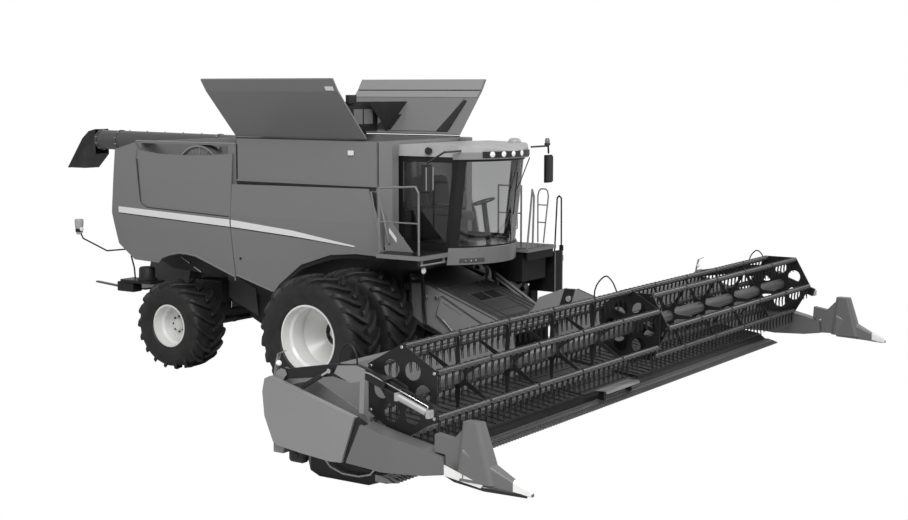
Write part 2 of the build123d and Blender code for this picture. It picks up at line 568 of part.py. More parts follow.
LADDER_X = 1990.0
LADDER_Y = (-2250.0, -1700.0)
steps = [block(LADDER_X + 10, LADDER_X + 230, LADDER_Y[0] + 30, LADDER_Y[1] - 30, z, z + 40)
         for z in (480, 780, 1080, 1380, 1680, 1980)]
ladder = fuse(
    block(LADDER_X, LADDER_X + 240, LADDER_Y[0], LADDER_Y[0] + 36, 440, 2120),
    block(LADDER_X, LADDER_X + 240, LADDER_Y[1] - 36, LADDER_Y[1], 440, 2120),
    block(LADDER_X, LADDER_X + 12, LADDER_Y[0] + 30, LADDER_Y[1] - 30, 1380, 2110),
    rail([(LADDER_X + 220, -2090, 1990), (LADDER_X + 220, -2140, 3040), (LADDER_X + 220, -2180, 3080),
          (LADDER_X + 220, -2225, 3040), (LADDER_X + 220, -2232, 2110)], RAIL_R - 3),
    *steps,
)
save("ladder", ladder)

# ---- mirrors and lamps -----------------------------------------------------------------------------
right_mirror = fuse(
    rail([(-1000, -2230, 3990), (-1500, -2260, 3990), (-1750, -2100, 3820)], 16),
    block(-1850, -1650, -2120, -2070, 3360, 3800),
)
left_mirror = fuse(
    rail([(1000, -2330, 3990), (1560, -2330, 3990), (1640, -2290, 3860)], 16),
    block(1540, 1740, -2310, -2260, 3350, 3830),
)
tail_lamp = fuse(
    rail([(-1390, 5000, 2010), (-1700, 5160, 2000), (-1880, 5590, 2220), (-1880, 5680, 2350)], 14),
    Pos(-1880, 5690, 2450) * Cylinder(70, 220),
)
save("mirrors_and_lamps", right_mirror, left_mirror, tail_lamp, other_side(tail_lamp))

# ---- feeder house and its lift cylinders ---------------------------------------------------------
FEEDER_SIDE = [(-985, 1180), (-1025, 1925), (-1600, 1722), (FEEDER_FRONT_Y, 1290), (FEEDER_FRONT_Y, 520),
               (-1300, 1010)]
FEEDER_SHEETS = [
    [(-1025, 1925), (-1600, 1722), (-1600, 1698), (-1024, 1901)],
    [(-1600, 1722), (FEEDER_FRONT_Y, 1290), (FEEDER_FRONT_Y, 1266), (-1600, 1698)],
    [(FEEDER_FRONT_Y, 520), (-1300, 1010), (-1300, 1034), (FEEDER_FRONT_Y, 544)],
    [(-1300, 1010), (-985, 1180), (-985, 1204), (-1300, 1034)],
]
CROP_GAP_X = 700.0
feeder = [side_profile(sheet, -CROP_GAP_X, CROP_GAP_X) for sheet in FEEDER_SHEETS]
for side in (-1, 1):
    x0, x1 = sorted((side * CROP_GAP_X, side * FEEDER_X))
    feeder.append(side_profile(FEEDER_SIDE, x0, x1))
    x0, x1 = sorted((side * (FEEDER_X - 40), side * (FEEDER_X + 45)))
    feeder.append(block(x0, x1, FEEDER_FRONT_Y - 26, FEEDER_FRONT_Y, 500, 1320))
    x0, x1 = sorted((side * FEEDER_X, side * (FEEDER_X + 34)))
    feeder.append(disc(x0, x1, *FEEDER_PIVOT, 62))
feeder.append(block(-FEEDER_X + 40, FEEDER_X - 40, FEEDER_FRONT_Y - 26, FEEDER_FRONT_Y, 1250, 1320))
feeder.append(block(-FEEDER_X + 40, FEEDER_X - 40, FEEDER_FRONT_Y - 26, FEEDER_FRONT_Y, 500, 560))
DRIVE_COVER = [(-1690, 1590), (-2500, 1190), (-2420, 1010), (-1990, 960), (-1590, 1280)]
feeder.append(side_profile(DRIVE_COVER, -FEEDER_X - 66, -FEEDER_X))
EAR = [(CYLINDER_EYE[0] - 80, 684), (CYLINDER_EYE[0] + 80, 684), (CYLINDER_EYE[0] + 50, 530),
       (CYLINDER_EYE[0] - 50, 530)]
floor_cut = side_profile([(FEEDER_FRONT_Y, 520), (-1300, 1010), (-1300, 1300), (FEEDER_FRONT_Y, 1300)],
                         -600, 600)
for x in (-CYLINDER_X, CYLINDER_X):
    feeder += [side_profile(EAR, x + edge, x + edge + 20) - floor_cut for edge in (-70, 50)]
save("feeder_house", *feeder)

reach = hypot(CYLINDER_EYE[0] - CYLINDER_FOOT[0], CYLINDER_EYE[1] - CYLINDER_FOOT[1])
aim = ((CYLINDER_EYE[0] - CYLINDER_FOOT[0]) / reach, (CYLINDER_EYE[1] - CYLINDER_FOOT[1]) / reach)


def along(x, distance):
    """Point on a lift cylinder's line, counted from its foot."""
    return (x, CYLINDER_FOOT[0] + aim[0] * distance, CYLINDER_FOOT[1] + aim[1] * distance)


barrels, rods = [], []
for x in (-CYLINDER_X, CYLINDER_X):
    bore = bar(along(x, 100), along(x, 1300), 33)
    barrel = fuse(bar(along(x, 0), along(x, 1250), 62), disc(x - 45, x + 45, *CYLINDER_FOOT, 60)) - bore
    barrels.append(barrel)
    rods.append(fuse(bar(along(x, 500), along(x, reach), 32), disc(x - 45, x + 45, *CYLINDER_EYE, 50)))
save("lift_cylinder_barrels", *barrels)
save("lift_cylinder_rods", *rods)

# ---- header ------------------------------------------------------------------------------------------
BACK_X = HEADER_X - 80      # the frame's half width, inside the end shields
BACK_Y = -3060.0            # front of the beams, where the back sheet is fixed
SHEET_T = 15.0
UPRIGHT_X = (800, 1800, 3200, 4600, 6000)
SKID_X = (1800, 3200, 5950)
frame = [
    block(-BACK_X, BACK_X, BACK_Y, -2880, 1070, HEADER_TOP_Z),
    block(-BACK_X, BACK_X, BACK_Y, -2900, 300, 470),
    block(-BACK_X, -CROP_GAP_X, BACK_Y - SHEET_T, BACK_Y, 330, 1180),
    block(CROP_GAP_X, BACK_X, BACK_Y - SHEET_T, BACK_Y, 330, 1180),
    block(-CROP_GAP_X, CROP_GAP_X, BACK_Y - SHEET_T, BACK_Y, 1080, 1180),
    block(-CROP_GAP_X, CROP_GAP_X, BACK_Y - SHEET_T, BACK_Y, 330, 460),
]
LEG = [(-2960, 200), (-2960, 300), (-3400, 292), (-4425, 190), (-4425, 120)]
SKID = [
    (-3250, 250), (-3300, 60), (-3450, 0), (-4250, 0), (-4420, 60), (-4420, 160), (-4370, 180), (-4340, 70),
    (-4200, 40), (-3500, 50), (-3400, 130), (-3350, 250),
]
END_WALL = [(-3075, 330), (-3075, 1180), (-3380, 1260), (-3480, 1260), (-4290, 900), (-4420, 330)]
PIVOT_LUG = [(-2900, 1250), (-3060, 1250), (-3130, 1340), (-3100, 1400), (-3030, 1410), (-2960, 1360)]
for side in (-1, 1):
    frame += [block(side * x - 30, side * x + 30, BACK_Y, -2890, 470, 1070) for x in UPRIGHT_X]
    frame += [side_profile(LEG, side * x - 30, side * x + 30) for x in (900, 4600)]
    for x in SKID_X:
        frame.append(fuse(side_profile(LEG, side * x - 30, side * x + 30),
                          side_profile(SKID, side * x - 130, side * x + 130)))
    for near, far, outline in (
        (6120, 6132, END_WALL), (6215, 6240, PIVOT_LUG), (6320, 6337, PIVOT_LUG), (40, 58, PIVOT_LUG),
    ):
        x0, x1 = sorted((side * near, side * far))
        frame.append(side_profile(outline, x0, x1))
save("header_frame", *frame)

DECK = [(-3150, 360), (-3150, 450), (-4420, 285), (-4420, 205)]
decks = [side_profile(DECK, -6080, -960), side_profile(DECK, 960, 6080)]
decks.append(side_profile([(-3150, 345), (-3150, 435), (-4420, 270), (-4420, 205)], -820, 820))
save("draper_decks", *decks)

cutter_bar = side_profile([(-4430, 100), (-4430, 190), (-4600, 165), (KNIFE_Y, 120), (-4600, 95)],
                          -HEADER_X + 240, HEADER_X - 240)
save("cutter_bar", cutter_bar)

# end shields: a pressed tray behind, a tapered fairing ahead of it
SHIELD = [
    (-2790, 1100), (-2830, 1270), (-2910, 1310), (-4290, 940), (-4080, 340), (-3890, 330), (-3440, 370),
    (-3020, 420), (-2960, 460), (-2820, 780),
]
FAIRING = [
    (-4380, 860), (-4760, 780), (-5300, 680), (-5560, 600), (-5600, 390), (-5290, 340), (-4690, 310),
    (-4150, 350),
]
FAIRING_PLAN = [(6150, -4150), (HEADER_X, -4150), (HEADER_X, -4850), (6330, -5620), (6150, -5620)]
shield_face = make_face(Plane.YZ * Polyline(*SHIELD, close=True))
pocket_face = offset(shield_face, amount=-15, kind=Kind.INTERSECTION)
pocket = Pos(BACK_X - 10, 0, 0) * extrude(pocket_face, amount=75, dir=(1, 0, 0))
shield = fuse(
    side_profile(SHIELD, BACK_X, HEADER_X) - pocket,
    block(BACK_X, HEADER_X - 10, -3040, -2900, 1090, 1230),
    block(6132, HEADER_X - 10, -3900, -3800, 500, 600),
)
fairing = side_profile(FAIRING, 6150, HEADER_X) & plan_profile(FAIRING_PLAN, 200, 1000)
fairing = fuse(fairing, block(6132, 6152, -4330, -4310, 500, 690))

# crop dividers: a rounded hood that narrows upwards, a long nose, and a wing joined to the fairing
DIVIDER_X = 6290.0
foot = Plane(origin=(DIVIDER_X, -6060, 380)) * RectangleRounded(270, 560, 90)
crown = Plane(origin=(DIVIDER_X, -5985, 1080)) * RectangleRounded(190, 250, 60)
hood = loft([foot, crown])
root_plane = Plane(origin=(DIVIDER_X, -5900, 560), x_dir=(1, 0, 0), z_dir=(0, -1, 0))
tip_plane = Plane(origin=(DIVIDER_X, -6800, 318), x_dir=(1, 0, 0), z_dir=(0, -1, 0))
nose_root = root_plane * RectangleRounded(270, 440, 70)
nose_tip = tip_plane * RectangleRounded(50, 40, 15)
nose = loft([nose_root, nose_tip])
WING = [(-5430, 650), (-5440, 870), (-5700, 830), (-5860, 1000), (-5920, 1000), (-5920, 400), (-5601, 390),
        (-5591, 640)]
wing = side_profile(WING, DIVIDER_X - 90, DIVIDER_X + 30)
divider = fuse(hood, nose, wing)
save("header_ends", *[piece for made in (shield, fairing, divider) for piece in (made, other_side(made))])

# ---- reel ----------------------------------------------------------------------------------------------
slope = radians(ARM_SLOPE)


def on_arm(s, h):
    """Point (y, z) a distance s along an arm's front section from its knee, and h above its top edge."""
    return (ARM_KNEE[0] - s * cos(slope) - h * sin(slope), ARM_KNEE[1] - s * sin(slope) + h * cos(slope))


def arm_profile(corners, x0, x1):
    """Outline of (s, h) points along an arm's front section."""
    return side_profile([on_arm(s, h) for s, h in corners], x0, x1)


def arm_bar(x, s0, s1, h, radius):
    """Round bar along an arm's front section."""
    return bar((x, *on_arm(s0, h)), (x, *on_arm(s1, h)), radius)


END_ARM = [
    [(-3060, 1400), (-3900, 1555), (-3880, 1395), (-3060, 1270)],
    [(-3900, 1555), (-4250, 1582), (-4400, 1548), (-4330, 1430), (-4150, 1350), (-3880, 1395)],
    [(-4400, 1548), (-5430, 1195), (-5380, 1060), (-4720, 1290), (-4330, 1430)],
]
CENTRE_ARM = [
    [(-3060, 1270), (-3000, 1380), (-3120, 1590), (-3600, 1775), (-3500, 1500), (-3200, 1275)],
    [(-3500, 1500), (-3600, 1775), (-3800, 1780), (-3700, 1540)],
    [(-3700, 1540), (-3800, 1780), (-4200, 1650), (-4400, 1548), (-4423, 1482), (-4150, 1440)],
    [(-4400, 1548), (-5346, 1224), (-5323, 1158), (-4423, 1482)],
]
LIFT_X = 6350.0             # reel lift cylinders, outside the end arms
LIFT_FOOT = (-3430.0, 1230.0)       # y, z
LIFT_EYE = (-3850.0, 1470.0)        # y, z
SLIDE_X = 6358.0            # fore-and-aft cylinders, on the end arms' front sections
SLIDE_H = -93.0

arms = [side_profile(outline, -30, 30) for outline in CENTRE_ARM]
arms[0] = fuse(arms[0], disc(-34, 34, *ARM_PIVOT, 70))
for side in (-1, 1):
    x = side * ARM_X
    rear, knee, front = [side_profile(outline, x - 30, x + 30) for outline in END_ARM]
    boss, pin = sorted((side * (ARM_X + 20), side * (LIFT_X - 26)))
    rear = fuse(rear, disc(x - 30, x + 30, *ARM_PIVOT, 70), disc(x - 35, x + 35, *ARM_PIVOT, 34),
                disc(boss, pin, *LIFT_EYE, 18))
    x = side * SLIDE_X
    inner, outer = sorted((side * (ARM_X + 30), x))
    barrel = fuse(arm_bar(x, 592, 1042, SLIDE_H, 45),
                  arm_profile([(610, -120), (650, -120), (650, -66), (610, -66)], inner, outer),
                  arm_profile([(980, -120), (1020, -120), (1020, -66), (980, -66)], inner, outer))
    barrel -= arm_bar(x, 580, 1022, SLIDE_H, 17)
    arms += [rear, knee, front, barrel]
save("reel_arms", *arms)

lift_length = hypot(LIFT_EYE[0] - LIFT_FOOT[0], LIFT_EYE[1] - LIFT_FOOT[1])
lift_aim = ((LIFT_EYE[0] - LIFT_FOOT[0]) / lift_length, (LIFT_EYE[1] - LIFT_FOOT[1]) / lift_length)


def on_lift(x, distance):
    """Point on a reel lift cylinder's line, counted from its foot."""
    return (x, LIFT_FOOT[0] + lift_aim[0] * distance, LIFT_FOOT[1] + lift_aim[1] * distance)


lift_barrels, lift_rods = [], []
for x in (-LIFT_X, LIFT_X):
    lift_barrel = fuse(bar(on_lift(x, 0), on_lift(x, 335), 32), disc(x - 20, x + 20, *LIFT_FOOT, 32))
    lift_barrels.append(lift_barrel - bar(on_lift(x, 60), on_lift(x, 340), 18))
    lift_rods.append(fuse(bar(on_lift(x, 150), on_lift(x, lift_length), 17),
                          disc(x - 19, x + 19, *LIFT_EYE, 30)))
save("reel_lift_barrels", *lift_barrels)
save("reel_lift_rods", *lift_rods)

REEL_SHAFT_R = 40.0
CARRIAGE = [(-4430, 1500), (-4800, 1440), (-4960, 1370), (-4930, 1170), (-4760, 1120), (-4690, 1150)]
carriages = []
for side in (-1, 1):
    # plate inside the arm, strap over its top, and a leg down to the slide rod on its outer side
    inner, outer = sorted((side * 6195, side * 6245))
    carriage = fuse(side_profile(CARRIAGE, inner, outer), disc(inner, outer, *REEL_CENTRE, 85))
    x0, x1 = sorted((side * 6195, side * 6376))
    carriage = fuse(carriage, arm_profile([(270, 7), (362, 7), (362, 26), (270, 26)], x0, x1))
    x0, x1 = sorted((side * 6322, side * 6376))
    carriage = fuse(carriage, arm_profile([(325, -120), (362, -120), (362, 20), (325, 20)], x0, x1),
                    arm_bar(side * SLIDE_X, 350, 792, SLIDE_H, 13))
    carriages.append(carriage - disc(inner - 5, outer + 5, *REEL_CENTRE, REEL_SHAFT_R + 2))
centre = arm_profile([(390, 26), (546, 26), (560, -100), (525, -200), (411, -200), (376, -100)], -46, 46)
centre -= arm_profile([(300, 7), (600, 7), (600, -300), (300, -300)], -36, 36)
centre -= disc(-60, 60, *REEL_CENTRE, REEL_SHAFT_R + 2)
carriages.append(centre)
save("reel_carriages", *carriages)

cy, cz = REEL_CENTRE
END_PLATE_X = (80, REEL_X)
SPIDER_X = (1280, 2480, 3680, 4880)
PLATE_T = 12.0


def bat_angle(half, index):
    """Direction of a bat from the reel's axis. The two halves of the reel stand half a bat apart."""
    return radians((60 if half > 0 else 90) + 60 * index)


def reel_point(angle, along, across=0):
    """Point (y, z) out from the reel's axis, and across from that line."""
    return (cy + along * cos(angle) - across * sin(angle), cz + along * sin(angle) + across * cos(angle))


def spider(x, half):
    """Six tapered spokes on a hub, reaching just short of the bats."""
    outline = []
    for i in range(6):
        a = bat_angle(half, i)
        outline.append(reel_point(a - radians(30), 128))
        outline += [reel_point(a, 165, -36), reel_point(a, REEL_R - BAT_R - 1, -18),
                    reel_point(a, REEL_R - BAT_R - 1, 18), reel_point(a, 165, 36)]
    return side_profile(outline, x - 4, x + 4) - disc(x - 10, x + 10, cy, cz, 95.5)


def end_plate(x, half):
    """Hexagonal plate with the bats' bearing holes near its corners and a large hole between each two."""
    corners = [reel_point(bat_angle(half, i), REEL_R * 1.08) for i in range(6)]
    plate = side_profile(corners, x - PLATE_T / 2, x + PLATE_T / 2)
    plate -= disc(x - 10, x + 10, cy, cz, REEL_SHAFT_R + 0.5)
    for i in range(6):
        plate -= disc(x - 10, x + 10, *reel_point(bat_angle(half, i), REEL_R), 18)
        plate -= disc(x - 10, x + 10, *reel_point(bat_angle(half, i) + radians(30), 0.57 * REEL_R), 118)
    return plate


core = []
inner_end, outer_end = END_PLATE_X[0] + PLATE_T / 2, END_PLATE_X[1] - PLATE_T / 2
tube = turned(
    [(0, 0), (0, REEL_SHAFT_R), (inner_end + 0.5, REEL_SHAFT_R), (inner_end + 0.5, 95),
     (outer_end - 0.5, 95), (outer_end - 0.5, REEL_SHAFT_R), (6230, REEL_SHAFT_R), (6230, 0)], cy, cz)
core += [tube, other_side(tube)]
for half in (-1, 1):
    core += [spider(half * x, half) for x in SPIDER_X]
    core += [end_plate(half * x, half) for x in END_PLATE_X]
save("reel_core", *core)

for half, word in ((-1, "right"), (1, "left")):
    for i in range(6):
        y, z = reel_point(bat_angle(half, i), REEL_R)
        x0, x1 = sorted((half * 92, half * 6088))
        bat = fuse(disc(x0, x1, y, z, BAT_R), disc(x0 - 24, x1 + 24, y, z, 14))
        save(f"reel_{word}_bat_{i + 1}", bat)
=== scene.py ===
"""Combine harvester with a draper header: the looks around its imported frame."""
from math import cos, pi, radians, sin, tau

import bpy
from mathutils import Matrix, Vector


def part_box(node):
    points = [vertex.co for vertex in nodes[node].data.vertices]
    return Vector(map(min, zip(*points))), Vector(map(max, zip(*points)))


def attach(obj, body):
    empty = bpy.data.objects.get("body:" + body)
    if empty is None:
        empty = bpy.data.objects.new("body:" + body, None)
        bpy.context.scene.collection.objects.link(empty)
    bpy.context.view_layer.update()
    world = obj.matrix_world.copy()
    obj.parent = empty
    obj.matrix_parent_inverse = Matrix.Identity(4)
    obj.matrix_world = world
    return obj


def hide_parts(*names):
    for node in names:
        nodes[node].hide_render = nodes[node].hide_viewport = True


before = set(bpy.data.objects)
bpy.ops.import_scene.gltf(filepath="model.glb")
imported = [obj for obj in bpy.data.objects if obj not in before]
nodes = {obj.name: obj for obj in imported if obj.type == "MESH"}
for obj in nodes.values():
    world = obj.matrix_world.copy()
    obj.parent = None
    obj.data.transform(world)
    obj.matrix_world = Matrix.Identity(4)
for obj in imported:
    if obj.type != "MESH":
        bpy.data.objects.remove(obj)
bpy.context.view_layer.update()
bpy.ops.object.select_all(action="DESELECT")

# ---- camera ----
# Stands ahead of the machine's right front corner, at the height of the tank covers' upper edges,
# and looks a little down along the side towards the far rear.
CAMERA_PLACE = Vector((-20.584, -16.874, 4.998))
CAMERA_YAW, CAMERA_PITCH = radians(55.808), radians(-6.654)
bpy.ops.object.camera_add(location=CAMERA_PLACE, rotation=(pi / 2 + CAMERA_PITCH, 0, -CAMERA_YAW))
camera = bpy.context.object
camera.data.lens, camera.data.sensor_width, camera.data.clip_end = 58.76, 36.0, 200.0
bpy.context.scene.camera = camera

# ---- floor, light and background ----
# A plain white studio: a wide floor that only shows the shadow, an even sky, and one large soft lamp high
# at the machine's right front. Camera and glass rays see white behind everything.


def linear(code):
    """Colour of a six-digit sRGB code, as the renderer wants it."""
    parts = [int(code[i:i + 2], 16) / 255 for i in (0, 2, 4)]
    return [p / 12.92 if p <= 0.04045 else ((p + 0.055) / 1.055) ** 2.4 for p in parts] + [1.0]


def feed(material, node, inputs):
    """Gives each input of a node a value, or links another node's socket to it."""
    for key, value in inputs.items():
        if isinstance(value, bpy.types.NodeSocket):
            material.node_tree.links.new(value, node.inputs[key])
        else:
            node.inputs[key].default_value = value


def add(material, kind, inputs, **settings):
    """Adds a node with its settings and what its inputs get."""
    made = material.node_tree.nodes.new(kind)
    for key, value in settings.items():
        setattr(made, key, value)
    feed(material, made, inputs)
    return made


def cleared(holder):
    """A world or material with an empty node tree."""
    holder.use_nodes = True
    holder.node_tree.nodes.clear()
    return holder


scene = bpy.context.scene
scene.view_settings.view_transform = "Standard"
sky = cleared(bpy.data.worlds.new("studio sky"))
scene.world = sky
rays = add(sky, "ShaderNodeLightPath", {})
seen = add(sky, "ShaderNodeMath", {0: rays.outputs["Is Camera Ray"], 1: rays.outputs["Is Transmission Ray"]},
           operation="MAXIMUM")
white = add(sky, "ShaderNodeBackground", {"Color": linear("FFFFFF"), "Strength": 1.0})
soft = add(sky, "ShaderNodeBackground", {"Color": linear("F4F4F4"), "Strength": 0.62})
both = add(sky, "ShaderNodeMixShader", {0: seen.outputs[0], 1: soft.outputs[0], 2: white.outputs[0]})
add(sky, "ShaderNodeOutputWorld", {"Surface": both.outputs[0]})

bpy.ops.mesh.primitive_plane_add(size=160, location=(0, 0, -0.002))
floor = bpy.context.object
floor.name = "studio_floor"
pale = cleared(bpy.data.materials.new("white studio floor"))
rays = add(pale, "ShaderNodeLightPath", {})
matt = add(pale, "ShaderNodeBsdfDiffuse", {"Color": linear("C8C8C8")})
glow = add(pale, "ShaderNodeEmission", {"Color": linear("FFFFFF"), "Strength": 1.0})
shown = add(pale, "ShaderNodeMixShader", {0: rays.outputs["Is Camera Ray"], 1: matt.outputs[0],
                                          2: glow.outputs[0]})
add(pale, "ShaderNodeOutputMaterial", {"Surface": shown.outputs[0]})
floor.data.materials.append(pale)

LAMPS = (
    # name, place, aimed at, size, watts
    ("key_lamp", (-16.0, -15.0, 17.0), (0.0, -3.0, 1.5), 12.0, 3600.0),
    ("fill_lamp", (16.0, -12.0, 12.0), (0.0, 0.0, 1.5), 10.0, 900.0),
)
for name, spot, aim, size, watts in LAMPS:
    bpy.ops.object.light_add(type="AREA", location=spot)
    lamp = bpy.context.object
    lamp.name = name
    lamp.data.energy, lamp.data.size = watts, size
    lamp.rotation_euler = (Vector(aim) - Vector(spot)).to_track_quat("-Z", "Y").to_euler()

# ---- sheet metal and frame ----
# Sheet steel panels and welded frames, sprayed with enamel and baked: an even satin gloss with a soft
# reflection, dulled by fine dust that settles more towards the ground.


def dress(finish, *names):
    """Gives frame nodes their finish."""
    for name in names:
        for holder in nodes[name].material_slots:
            holder.material = finish


def begin(name, slot):
    """A finish for one slot of the record, with its shader and where a point lies on the object."""
    made = bpy.data.materials.new(name)
    made.use_nodes = True
    made["slot"] = slot
    where = add(made, "ShaderNodeTexCoord", {}).outputs["Object"]
    return made, made.node_tree.nodes["Principled BSDF"], where


def enamel(name, slot, colour, dust, rough, gloss):
    """Sprayed enamel. Cloudy dust changes colour and gloss over 1 m, and thickens near the ground."""
    made, shader, where = begin(name, slot)
    cloud = add(made, "ShaderNodeTexNoise", {"Vector": where, "Scale": 1.3, "Detail": 8.0, "Roughness": 0.62})
    height = add(made, "ShaderNodeSeparateXYZ", {0: where}).outputs["Z"]
    low = add(made, "ShaderNodeMapRange", {0: height, 1: 0.0, 2: 2.4, 3: 0.55, 4: 0.12})
    dusty = add(made, "ShaderNodeMath", {0: cloud.outputs["Fac"], 1: low.outputs[0]}, operation="MULTIPLY")
    tone = add(made, "ShaderNodeMix", {0: dusty.outputs[0], 6: linear(colour), 7: linear(dust)},
               data_type="RGBA")
    dull = add(made, "ShaderNodeMapRange", {0: cloud.outputs["Fac"], 1: 0.3, 2: 0.75, 3: rough - 0.05,
                                            4: rough + 0.12})
    # orange peel of the spray, 6 mm waves drawn coarse enough to show
    peel = add(made, "ShaderNodeTexNoise", {"Vector": where, "Scale": 160.0, "Detail": 2.0})
    relief = add(made, "ShaderNodeBump", {"Height": peel.outputs["Fac"], "Strength": 0.06, "Distance": 0.002})
    feed(made, shader, {"Base Color": tone.outputs[2], "Roughness": dull.outputs[0], "Coat Weight": gloss,
                        "Normal": relief.outputs[0], "Coat Roughness": 0.12})
    return made


body_enamel = enamel("satin body enamel", "body_paint", "7B7B7B", "8A8A8A", 0.34, 0.25)
header_enamel = enamel("satin header enamel", "header_paint", "858585", "989898", 0.36, 0.2)
black_enamel = enamel("satin black enamel", "dark_paint", "161616", "4A4A48", 0.38, 0.15)
black_enamel.node_tree.nodes["Principled BSDF"].inputs["Specular IOR Level"].default_value = 0.25
chassis_enamel = enamel("chassis enamel", "chassis_paint", "262626", "4A4A48", 0.5, 0.05)
plate_enamel = enamel("feeder plate enamel", "chassis_paint", "4C4C4C", "6A6A68", 0.42, 0.1)
dress(body_enamel, "grain_tank", "rear_hood", "left_front_panel", "right_front_panel", "left_rear_panel",
      "right_rear_panel", "left_tank_cover", "right_tank_cover")
dress(header_enamel, "header_frame")
dress(chassis_enamel, "main_frame", "rear_axle", "engine", "rear_left_knuckle", "rear_right_knuckle",
      "threshing_housing")
dress(plate_enamel, "straw_chopper")
dress(black_enamel, "cab_body", "cab_door", "ladder", "lift_cylinder_barrels", "reel_carriages", "reel_core",
      "reel_lift_barrels", "reel_arms", "mirrors_and_lamps")

# ---- tyres ----
# Drive tyres with bar lugs: moulded rubber, black where it is clean and grey with dust on its walls. A
# lathed casing carries two rows of lugs that start at its middle and trail back to its shoulders.


def only(piece):
    """Selects one piece and nothing else."""
    bpy.ops.object.select_all(action="DESELECT")
    piece.select_set(True)
    bpy.context.view_layer.objects.active = piece


def settled(name, scale=(1, 1, 1)):
    """Names the piece just added and applies its placement and scale."""
    made = bpy.context.object
    made.name, made.scale = name, scale
    bpy.ops.object.transform_apply()
    return made


def trace(name, points):
    """Line of edges drawn through points, one extrusion after another. Leaves it in edit mode."""
    points = [Vector(p) for p in points]
    bpy.ops.object.select_all(action="DESELECT")
    bpy.ops.mesh.primitive_plane_add(size=0.01, location=points[0])
    made = settled(name)
    bpy.ops.object.mode_set(mode="EDIT")
    bpy.ops.mesh.merge(type="CENTER")
    for a, b in zip(points, points[1:]):
        draw(b - a)
    bpy.ops.mesh.select_all(action="SELECT")
    return made


def draw(move, size=None, about=None):
    """Extrudes what is selected, and scales its end about a point if a size is given."""
    bpy.ops.mesh.extrude_region_move(TRANSFORM_OT_translate={"value": move})
    if size:
        bpy.ops.transform.resize(value=size, center_override=about)


def close(made):
    """Turns every face outwards and leaves edit mode."""
    bpy.ops.mesh.select_all(action="SELECT")
    bpy.ops.mesh.normals_make_consistent(inside=False)
    bpy.ops.object.mode_set(mode="OBJECT")
    return made


def spin(middle, axis, steps, **settings):
    """Spins the whole mesh a full turn about an axis and joins its ends."""
    bpy.ops.mesh.select_all(action="SELECT")
    bpy.ops.mesh.spin(steps=steps, angle=tau, center=middle, axis=axis, **settings)
    bpy.ops.mesh.select_all(action="SELECT")
    bpy.ops.mesh.remove_doubles(threshold=0.0001)


def turned(name, middle, axis, profile, steps=24):
    """Piece turned about an axis through middle. Its closed profile is (distance along the axis, radius)."""
    middle, axis = Vector(middle), Vector(axis)
    out = Vector((1, 0, 0)) if axis.z else Vector((0, 0, 1))
    made = trace(name, [middle + axis * a + out * r for a, r in (*profile, profile[0])])
    bpy.ops.mesh.remove_doubles(threshold=0.0001)
    spin(middle, axis, steps)
    close(made)
    only(made)
    bpy.ops.object.shade_smooth_by_angle(angle=radians(40))
    return made


def ring_of(piece, count, axis, middle):
    """Repeats a piece evenly round an axis."""
    only(piece)
    bpy.ops.object.mode_set(mode="EDIT")
    spin(middle, axis, count, dupli=True)
    bpy.ops.object.mode_set(mode="OBJECT")
    return piece


def work(piece, kind, **settings):
    """Gives a piece a modifier and applies it."""
    only(piece)
    change = piece.modifiers.new(kind.lower(), kind)
    for key, value in settings.items():
        setattr(change, key, value)
    bpy.ops.object.modifier_apply(modifier=change.name)
    return piece


def copy(piece, move, name=None):
    """A copy with its own mesh, moved or mirrored by a matrix. A mirrored one has its faces turned back."""
    only(piece)
    bpy.ops.object.duplicate()
    made = bpy.context.object
    made.name = name or piece.name.replace("left", "right")
    made.data.transform(move)
    if move.determinant() < 0:
        made.data.flip_normals()
    return made


def gather(name, parts):
    """Joins parts into one piece."""
    bpy.ops.object.select_all(action="DESELECT")
    for part in parts:
        part.select_set(True)
    bpy.context.view_layer.objects.active = parts[0]
    bpy.ops.object.join()
    parts[0].name = name
    return parts[0]


SHIFT_Y = -1.4675


def fit(piece, body, finish):
    """Moves a piece, modelled with Y from the middle of the front arches, into the frame, and fits it there."""
    piece.data.transform(Matrix.Translation((0, SHIFT_Y, 0)))
    piece.data.materials.clear()
    piece.data.materials.append(finish)
    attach(piece, body)


def rubber(name, slot, colour, dust, rough):
    """Rubber: dull black with dust rubbed into it in 0.2 m patches, and a fine moulded grain."""
    made, shader, where = begin(name, slot)
    cloud = add(made, "ShaderNodeTexNoise", {"Vector": where, "Scale": 5.0, "Detail": 7.0, "Roughness": 0.6})
    amount = add(made, "ShaderNodeMapRange", {0: cloud.outputs["Fac"], 1: 0.35, 2: 0.75, 3: 0.0, 4: 0.8})
    tone = add(made, "ShaderNodeMix", {0: amount.outputs[0], 6: linear(colour), 7: linear(dust)},
               data_type="RGBA")
    # moulded grain, real 1 mm, drawn at 8 mm so that it shows
    grain = add(made, "ShaderNodeTexNoise", {"Vector": where, "Scale": 120.0, "Detail": 3.0})
    relief = add(made, "ShaderNodeBump", {"Height": grain.outputs["Fac"], "Strength": 0.25, "Distance": 0.003})
    feed(made, shader, {"Base Color": tone.outputs[2], "Roughness": rough, "Normal": relief.outputs[0]})
    return made


X, Y, Z = (1, 0, 0), (0, 1, 0), (0, 0, 1)
tyre_rubber = rubber("moulded tyre rubber", "tyre_rubber", "141414", "2C2C2B", 0.55)


